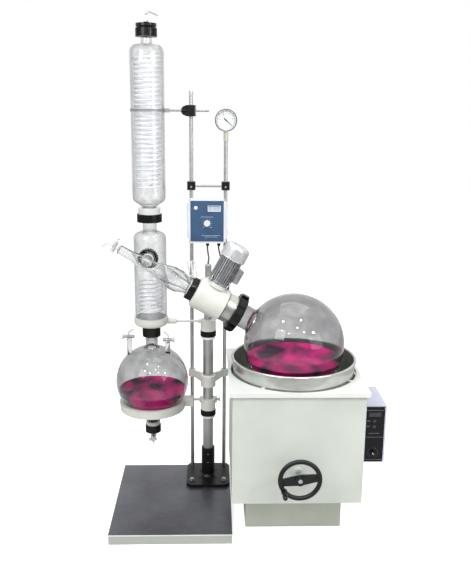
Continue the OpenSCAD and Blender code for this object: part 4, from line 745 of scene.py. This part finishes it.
dial_marks("dial_fine_marks", 0.0022, 0.00035, 0.0408, 51)
dial_marks("dial_main_marks", 0.0045, 0.0008, 0.0396, 11)
numbers = []
for i, text in enumerate(("0", ".02", ".04", ".06", ".08", ".1")):
    angle = SCALE_START + SCALE_SWEEP * i / 5
    spot = Matrix.Translation((NUMBER_RADIUS * math.cos(angle), NUMBER_RADIUS * math.sin(angle), 0))
    numbers.append(words(text, NUMBER_HEIGHT, dial_plane @ spot))
piece("dial_numbers", joined(*numbers), ink_black, "stand")
piece(
    "gauge_lens",
    revolve(
        [(0, 0), (GLASS_RADIUS, 0), (GLASS_RADIUS, 0.0014), (0.03, 0.002), (0, 0.0023)], 64,
        GAUGE + 0.0035 * FORWARD, FORWARD,
    ),
    lens_glass, "stand",
)
piece(
    "gauge_bezel",
    revolve(
        [
            (GLASS_RADIUS, 0), (0.0502, -0.002), (0.051, 0.0008), (0.05, 0.0026), (0.047, 0.0034),
            (0.0445, 0.002),
        ],
        64, BEZEL, FORWARD,
    ),
    gauge_metal, "stand",
)
piece(
    "gauge_inner_ring",
    revolve([(0.0449, -0.0004), (0.0466, 0.0037), (0.0452, 0.0039), (0.0446, 0.002)], 64, BEZEL, FORWARD),
    white_polymer, "stand",
)

# ---- Controller ----

FACE = Vector((-0.006, 0.0169, 1.3325))  # middle of the blue front
front = facing(FACE, FORWARD)
CASE_SCREW_X, CASE_SCREW_Z = 0.0805, 0.098  # from the middle of the front
WINDOW_X, WINDOW_Z, WINDOW_W, WINDOW_H = 0.033, 0.0594, 0.0578, 0.0248  # to the middles of its frame bars
FRAME_BAR, FRAME_DEPTH, FRAME_LIFT, FRAME_BEVEL = 0.0022, 0.0024, 0.0026, 0.0006


def on_front(x, z):
    """The plane of the front, moved across it and up it."""
    return front @ Matrix.Translation((x, z, 0))


def frame_bar(width, height, across=0, above=0):
    """One bar of the window's raised frame, on the side that across or above gives as 1 or -1."""
    middle = (WINDOW_X + across * WINDOW_W / 2, WINDOW_Z + above * WINDOW_H / 2, FRAME_LIFT)
    return bar((width, height, FRAME_DEPTH), middle, FRAME_BEVEL)


screws(
    "case_screws", 0.0027,
    [
        facing(FACE + Vector((x, 0.0021, z)), FORWARD)
        for x in (-CASE_SCREW_X, CASE_SCREW_X) for z in (-CASE_SCREW_Z, CASE_SCREW_Z)
    ],
)
piece(
    "display_bezel",
    joined(
        frame_bar(WINDOW_W + FRAME_BAR, FRAME_BAR, above=1),
        frame_bar(WINDOW_W + FRAME_BAR, FRAME_BAR, above=-1),
        frame_bar(FRAME_BAR, WINDOW_H - FRAME_BAR, across=-1),
        frame_bar(FRAME_BAR, WINDOW_H - FRAME_BAR, across=1),
    ),
    case_white, "stand",
).data.transform(front)

# Strokes of a seven-stroke digit, in half widths from its middle. Those on the middle line lie flat.
STROKES = {"a": (0, 2), "b": (1, 1), "c": (1, -1), "d": (0, -2), "e": (-1, -1), "f": (-1, 1), "g": (0, 0)}
HALF_DIGIT, DIGIT_PITCH, FIRST_DIGIT_X, DIGIT_LIFT = 0.0034, 0.0123, 0.0145, 0.0022
STROKE_LENGTH, STROKE_WIDTH = 0.0056, 0.0013
digit_strokes = []
for place, lit in enumerate(("abcdef", "bc", "abged", "abcdef")):
    for stroke in lit:
        across, above = STROKES[stroke]
        size = (STROKE_WIDTH, STROKE_LENGTH, PRINT) if across else (STROKE_LENGTH, STROKE_WIDTH, PRINT)
        x = FIRST_DIGIT_X + DIGIT_PITCH * place + HALF_DIGIT * across
        digit_strokes.append(bar(size, (x, WINDOW_Z + HALF_DIGIT * above, DIGIT_LIFT)))
piece("display_digits", joined(*digit_strokes), display_grey, "stand").data.transform(front)
piece(
    "speed_scale",
    repeated(
        mark(0.004, 0.0009), ink_white, on_front(0, -0.01), count=11, radius=0.0205,
        first=math.radians(-60), step_angle=math.radians(30),
    ),
    ink_white, "stand",
)
piece(
    "speed_numbers",
    joined(words("0", 0.0075, on_front(-0.017, -0.029)), words("10", 0.0075, on_front(0.0175, -0.029))),
    ink_white, "stand",
)
piece(
    "front_rules",
    joined(
        mark(0.088, 0.001, 0.018, -0.067), mark(0.06, 0.0008, 0.018, -0.0735),
        mark(0.06, 0.0009, 0.0, 0.02),
    ),
    ink_white, "stand",
).data.transform(front)
piece(
    "power_lamp",
    revolve(
        [
            (0, 0), (0.0085, 0), (0.0085, 0.0016), (0.0068, 0.0024), (0.0058, 0.0016), (0.005, 0.003),
            (0, 0.0042),
        ],
        32, FACE + Vector((-0.052, 0, 0.062)), FORWARD,
    ),
    case_white, "stand",
)

# ---- Motor ----

MOTOR = on_axis(0.4335)
DOWN = -AXIS  # across the motor, down to the right
LID_TURN = math.radians(20)  # how far the terminal lid is turned towards the back
SIDE = math.cos(LID_TURN) * DOWN + math.sin(LID_TURN) * BACK
ALONG = SIDE.cross(RISE).normalized()
LID_FACE, LID_SCREW_RISES, LID_SCREW_HALF = 0.0741, (0.118, 0.168), 0.02
FLANGE_BOLTS, BOLT_CIRCLE = 4, 0.0575
RIBS, RIB_LENGTH, RIB_CIRCLE = 24, 0.03, 0.0563
COVER_FOOT = 0.2035  # how far up the motor its cover starts

screws(
    "terminal_lid_screws", 0.0028,
    [
        facing(MOTOR + LID_FACE * SIDE + rise * RISE + offset * ALONG, SIDE, RISE)
        for rise in LID_SCREW_RISES for offset in (-LID_SCREW_HALF, LID_SCREW_HALF)
    ],
)

motor_turn = facing(MOTOR, RISE, BACK)
lug = joined(
    bar((0.014, 0.016, 0.012), (0, 0, 0.086), 0.002),
    revolve(
        [(0, 0.092), (0.0052, 0.092), (0.0052, 0.096), (0.0024, 0.0962), (0.0024, 0.112), (0, 0.1125)], 12
    ),
)
flange_bolts = repeated(
    lug, fastener_steel, motor_turn, FLANGE_BOLTS, BOLT_CIRCLE, math.pi / FLANGE_BOLTS,
    2 * math.pi / FLANGE_BOLTS,
)
piece("motor_flange_bolts", flange_bolts, fastener_steel, "stand")
rib = bar((0.0024, 0.004, RIB_LENGTH), (0, 0, COVER_FOOT + 0.02), 0.0008)
ribs = repeated(rib, cover_silver, motor_turn, RIBS, RIB_CIRCLE, 0.0, 2 * math.pi / RIBS)
piece("cover_ribs", ribs, cover_silver, "stand")
piece(
    "cover_bead",
    revolve(
        [(0.0552, 0.204), (0.0572, 0.204), (0.058, 0.2055), (0.0572, 0.207), (0.0552, 0.207)], 64, MOTOR,
        RISE,
    ),
    cover_silver, "stand",
)
GLAND = Vector((0.111, -0.158, 1.1334))  # where the lead leaves the terminal box
piece(
    "lead_gland_nut",
    revolve(
        [(0.0042, -0.004), (0.0088, -0.004), (0.0092, 0.0), (0.0076, 0.006), (0.0042, 0.0075)], 24, GLAND,
        (-0.2, 0.95, 0.1),
    ),
    black_nylon, "stand",
)

# ---- Head: profiles are (distance from the axis, distance up it from the middle of the flask) ----

RING_RADIUS, BAND_RADIUS = 0.064, 0.0656  # the drive ring and the bands round it


def ring_band(foot):
    """A raised band round the drive ring, with sloping flanks."""
    flank, width = 0.001, 0.004
    return revolve(
        [
            (RING_RADIUS, foot), (BAND_RADIUS, foot + flank), (BAND_RADIUS, foot + width - flank),
            (RING_RADIUS, foot + width),
        ],
        96, FLASK, AXIS,
    )


# Black seal between the housing and the drive ring. Its black also stands as painted shade in the running gap
# there.
piece(
    "housing_seal_and_gap_shade",
    revolve(
        [
            (0.0465, 0.3586), (0.0635, 0.3586), (RING_RADIUS, 0.3592), (RING_RADIUS, 0.3602),
            (0.0465, 0.3602),
        ],
        96, FLASK, AXIS,
    ),
    black_nylon, "stand",
)
piece("drive_ring_bands", joined(ring_band(0.328), ring_band(0.348)), shaft_steel, "rotor")
socket = revolve(
    [(0.0, 0.0), (0.0032, 0.0), (0.0032, 0.0012), (0.0018, 0.0012), (0.0018, 0.0004), (0, 0.0004)], 12
)
outwards = Matrix.Rotation(math.radians(90), 3, "Y")
bmesh.ops.rotate(socket, cent=(0, 0, 0), matrix=outwards, verts=socket.verts)
socket_screws = repeated(
    socket, fastener_steel, facing(on_axis(0.34), AXIS, BACK), count=6, radius=0.0648, first=0.3,
    step_angle=math.pi / 3,
)
piece("drive_ring_screws", socket_screws, fastener_steel, "rotor")
# White sealing ring inside the flask nut, seen at the neck.
piece(
    "neck_seal",
    revolve([(0.0533, 0.2735), (0.059, 0.273), (0.06, 0.2758), (0.0533, 0.2758)], 64, FLASK, AXIS),
    white_polymer, "rotor",
)
# White sealing ring where the vapour duct leaves its nut.
piece(
    "duct_seal",
    revolve([(0.0302, 0.5362), (0.0372, 0.5362), (0.0362, 0.5405), (0.0302, 0.541)], 64, FLASK, AXIS),
    white_polymer, "stand",
)


LOOP_TALL, LOOP_WIDE, LOOP_LEAN, LOOP_TUBE = 0.07, 0.02, -0.15, 0.0026


def loop_path(middle, turn):
    """Points round a long closed loop that leans to one side, turned about its height."""
    across = Vector((math.cos(turn), math.sin(turn), 0))
    upward = (Vector((0, 0, 1)) + LOOP_LEAN * Vector((1, 0, 0))).normalized()
    straight = LOOP_TALL / 2 - LOOP_WIDE / 2
    count = 28
    points = []
    for i in range(count):
        angle = 2 * math.pi * (i + 0.5) / count
        end = straight if math.sin(angle) > 0 else -straight
        bend = math.cos(angle) * across + math.sin(angle) * upward
        points.append(middle + end * upward + LOOP_WIDE / 2 * bend)
    return points


# Two loops of white tube, held on the duct by a clip.
for number, (x, turn) in enumerate(((-0.062, 0.5), (-0.076, -0.4))):
    loop = loop_tube(loop_path(Vector((x, HEAD_Y, 1.158)), turn), LOOP_TUBE, 10)
    piece(f"tube_loop_{number + 1}", loop, white_polymer, "stand")
CLIP = Vector((-0.064, HEAD_Y, 1.1235))
clip_turn = Matrix.Rotation(-TILT + math.radians(58), 4, "Y")
piece(
    "loop_clip", bar((0.026, 0.012, 0.007), bevel=0.0015), white_polymer, "stand"
).data.transform(Matrix.Translation(CLIP) @ clip_turn)

# Inner glass sleeve that guides the vapour where the duct leaves the housing.
piece(
    "duct_sleeve",
    revolve(
        [
            (0.0225, 0.535), (0.0225, 0.575), (0.033, 0.64), (0.033, 0.662), (0.0312, 0.662),
            (0.0312, 0.641), (0.0207, 0.576), (0.0207, 0.535),
        ],
        64, FLASK, AXIS,
    ),
    tube_glass, "stand",
)

# ---- Hose barbs on the four condenser nozzles ----

FIRST_BARB_Y, BARB_PITCH = 0.0845, 0.0065
barb = revolve([(0.0079, 0), (0.009, 0.0008), (0.0079, 0.0048)], 24)
for name, height in (
    ("lower_inlet", 0.905), ("lower_outlet", 1.065), ("upper_inlet", 1.483), ("upper_outlet", 2.063)
):
    nozzle = facing((COLUMN_X, FIRST_BARB_Y, height), BACK)
    barbs = repeated(barb.copy(), tube_glass, nozzle, 3, step=(0, 0, BARB_PITCH))
    piece(f"{name}_barbs", barbs, tube_glass, "stand")
barb.free()

# ---- Bath ----

CONTROL = Vector((0.718, -0.4431, 0.477))  # middle of the control box's front
DIAL_DROP = 0.085  # the heat dial's middle, down from there
POINTER_Y = -0.4607  # front of the dial's cap
panel = facing(CONTROL, FORWARD)
CONTROL_SCREW_X, CONTROL_SCREW_Z = 0.042, 0.121
CONTROL_SIDE_X = 0.7691
BOX_BACK_Y, BACK_SCREWS, BACK_SCREW_CIRCLE = 0.0612, 8, 0.24


def on_panel(x, z):
    """The plane of the control box's front, moved across it and up it."""
    return panel @ Matrix.Translation((x, z, 0))


bath_scale = repeated(
    mark(0.0045, 0.001), ink_grey, on_panel(0, -DIAL_DROP), count=11, radius=0.0215,
    first=math.radians(-50), step_angle=math.radians(28),
)
piece("bath_scale", bath_scale, ink_grey, "stand")
piece(
    "bath_rules",
    joined(
        mark(0.078, 0.0011, 0, 0.112), mark(0.084, 0.0009, 0, -0.012), mark(0.084, 0.0009, 0, -0.118),
        mark(0.046, 0.0012, 0, 0.006),
    ),
    ink_grey, "stand",
).data.transform(panel)
piece(
    "bath_words",
    joined(words("ON", 0.0085, on_panel(-0.026, 0.063)), words("OFF", 0.0085, on_panel(-0.026, 0.037))),
    ink_grey, "stand",
)
piece(
    "bath_window", bar((0.054, 0.02, 0.0016), (0, 0.093, 0.0008), 0.0006), display_dark, "stand"
).data.transform(panel)
# It points up to the left and turns with the dial.
pointer = bar((0.0022, 0.0115, 0.0006), (0, 0.005, 0.0), 0.0002)
pointer_place = facing((CONTROL.x, POINTER_Y, CONTROL.z - DIAL_DROP), FORWARD)
piece("bath_pointer", pointer, ink_white, "bath_dial").data.transform(
    pointer_place @ Matrix.Rotation(math.radians(45), 4, "Z")
)
screws(
    "control_screws", 0.0024,
    [
        on_panel(x, z)
        for x in (-CONTROL_SCREW_X, CONTROL_SCREW_X) for z in (-CONTROL_SCREW_Z, CONTROL_SCREW_Z)
    ],
)
screws(
    "control_side_screws", 0.0032,
    [facing((CONTROL_SIDE_X, y, z), (1, 0, 0)) for y in (-0.425, -0.23) for z in (0.365, 0.59)],
)
# A ring of screws on the box's back panel.
back_screws = repeated(
    pan_screw(0.0035), fastener_steel, facing((BATH_X, BOX_BACK_Y, 0.36), BACK), BACK_SCREWS,
    BACK_SCREW_CIRCLE, math.pi / BACK_SCREWS, 2 * math.pi / BACK_SCREWS,
)
piece("box_back_screws", back_screws, fastener_steel, "stand")

# ---- Studio ----

FLOOR_DROP = 0.0006  # how far the floor lies under the feet


def floor_finish():
    """Pale paint for the floor, which glows for the camera so that it runs on into the backdrop."""
    finish = bpy.data.materials.new("pale_studio_floor")
    finish.use_nodes = True
    tree = finish.node_tree
    tree.nodes.remove(tree.nodes["Principled BSDF"])
    # In polish the floor is a mid grey, so that bright metal and glass keep their own tone.
    glossy = add(tree, "ShaderNodeLightPath").outputs["Is Glossy Ray"]
    ground = add(
        tree, "ShaderNodeMix", {"data_type": "RGBA", 6: linear("#eeeeec"), 7: linear("#c9c9c7")}, {0: glossy}
    )
    paint = add(tree, "ShaderNodeBsdfDiffuse", links={"Color": ground.outputs[2]})
    glow = add(tree, "ShaderNodeEmission", {"Color": (1, 1, 1, 1), "Strength": 0.7})
    lit = add(tree, "ShaderNodeAddShader", links={0: paint.outputs[0], 1: glow.outputs[0]})
    seen = either_ray(tree, "Is Camera Ray", "Is Transmission Ray")
    shown = add(tree, "ShaderNodeMixShader", links={0: seen, 1: paint.outputs[0], 2: lit.outputs[0]})
    tree.links.new(shown.outputs[0], tree.nodes["Material Output"].inputs["Surface"])
    return finish


def lay_floor():
    """The studio floor, wide enough to fill every view."""
    sheet = bmesh.new()
    bmesh.ops.create_grid(sheet, x_segments=1, y_segments=1, size=14)
    data = bpy.data.meshes.new("studio_floor")
    sheet.to_mesh(data)
    sheet.free()
    data.materials.append(floor_finish())
    floor = bpy.data.objects.new("studio_floor", data)
    scene.collection.objects.link(floor)
    floor.location.z = -FLOOR_DROP


def room_light(tree, axis, start_at, end_at, low, high):
    """A smooth rise of light along one axis of the room."""
    settings = {
        "From Min": start_at, "From Max": end_at, "To Min": low, "To Max": high,
        "interpolation_type": "SMOOTHSTEP",
    }
    return add(tree, "ShaderNodeMapRange", settings, {"Value": axis}).outputs[0]


def hang_world():
    """White for the camera, an even light for matt surfaces, and a studio for gloss to mirror."""
    world = bpy.data.worlds.new("studio")
    scene.world = world
    world.use_nodes = True
    tree = world.node_tree
    tree.nodes.clear()
    seen = either_ray(tree, "Is Camera Ray", "Is Transmission Ray")
    glossy = add(tree, "ShaderNodeLightPath").outputs["Is Glossy Ray"]
    # Gloss sees a bright sky and backdrop, and a dim room behind the camera.
    view = add(tree, "ShaderNodeTexCoord").outputs["Generated"]
    room = add(tree, "ShaderNodeSeparateXYZ", links={0: view}).outputs
    backdrop = room_light(tree, room["Y"], -0.9, 0.5, 0.38, 0.95)
    sky = room_light(tree, room["Z"], 0.1, 0.8, 0.0, 0.6)
    mirrored = add(tree, "ShaderNodeMath", {"operation": "ADD", "use_clamp": True}, {0: backdrop, 1: sky})
    ambient = add(
        tree, "ShaderNodeMix", {"data_type": "FLOAT", 2: 0.5}, {0: glossy, 3: mirrored.outputs[0]}
    )
    strength = add(tree, "ShaderNodeMix", {"data_type": "FLOAT", 3: 1.0}, {0: seen, 2: ambient.outputs[0]})
    background = add(
        tree, "ShaderNodeBackground", {"Color": (1, 1, 1, 1)}, {"Strength": strength.outputs[0]}
    )
    add(tree, "ShaderNodeOutputWorld", links={"Surface": background.outputs[0]})


def lamp(name, place, aim, size, power):
    """A square soft box, aimed at a point."""
    light = bpy.data.lights.new(name, "AREA")
    light.size = size
    light.energy = power
    made = bpy.data.objects.new(name, light)
    scene.collection.objects.link(made)
    made.location = place
    made.rotation_euler = (Vector(aim) - Vector(place)).to_track_quat("-Z", "Y").to_euler()


lay_floor()
hang_world()
lamp("key_softbox", (-1.9, -2.6, 2.9), aim=(0.0, 0, 0.9), size=1.5, power=38)
lamp("fill_softbox", (2.6, -2.4, 1.7), aim=(0.2, 0, 0.8), size=1.6, power=22)
lamp("top_softbox", (0.2, 0.4, 3.6), aim=(0.0, 0, 0.8), size=2.2, power=30)

# Small lamps of a hall, seen only as points of light in glass and polish.
HALL_LAMPS = (
    (-1.5, -2.3, 3.3), (-0.5, -2.8, 3.0), (0.5, -2.2, 3.4), (1.3, -2.7, 3.1), (0.9, -1.2, 3.5),
    (-0.9, -1.1, 3.5), (1.9, -1.7, 2.3),
)
for number, place in enumerate(HALL_LAMPS):
    lamp(f"hall_lamp_{number + 1}", place, aim=(0.1, -0.1, 0.8), size=0.23, power=9.5)

# ---- Camera ----

EYE = (0.02, -3.28, 1.819)
YAW, PITCH, ROLL = math.radians(1.85), math.radians(13.5), math.radians(0.57)  # right, down, tipped
FOCAL_LENGTH_MM, SENSOR_MM = 45.142, 36


def aim_camera():
    """A camera at the eye, looking back past the stand and a little down."""
    ahead = Vector((math.sin(YAW) * math.cos(PITCH), math.cos(YAW) * math.cos(PITCH), -math.sin(PITCH)))
    level_right = Vector((math.cos(YAW), -math.sin(YAW), 0))
    level_up = level_right.cross(ahead)
    right = level_right * math.cos(ROLL) + level_up * math.sin(ROLL)
    up = level_up * math.cos(ROLL) - level_right * math.sin(ROLL)
    lens = bpy.data.cameras.new("camera")
    lens.sensor_fit = "AUTO"
    lens.sensor_width = SENSOR_MM
    lens.lens = FOCAL_LENGTH_MM
    camera = bpy.data.objects.new("camera", lens)
    scene.collection.objects.link(camera)
    camera.matrix_world = Matrix.Translation(EYE) @ Matrix((right, up, -ahead)).transposed().to_4x4()
    scene.camera = camera


aim_camera()
scene.view_settings.view_transform = "Standard"
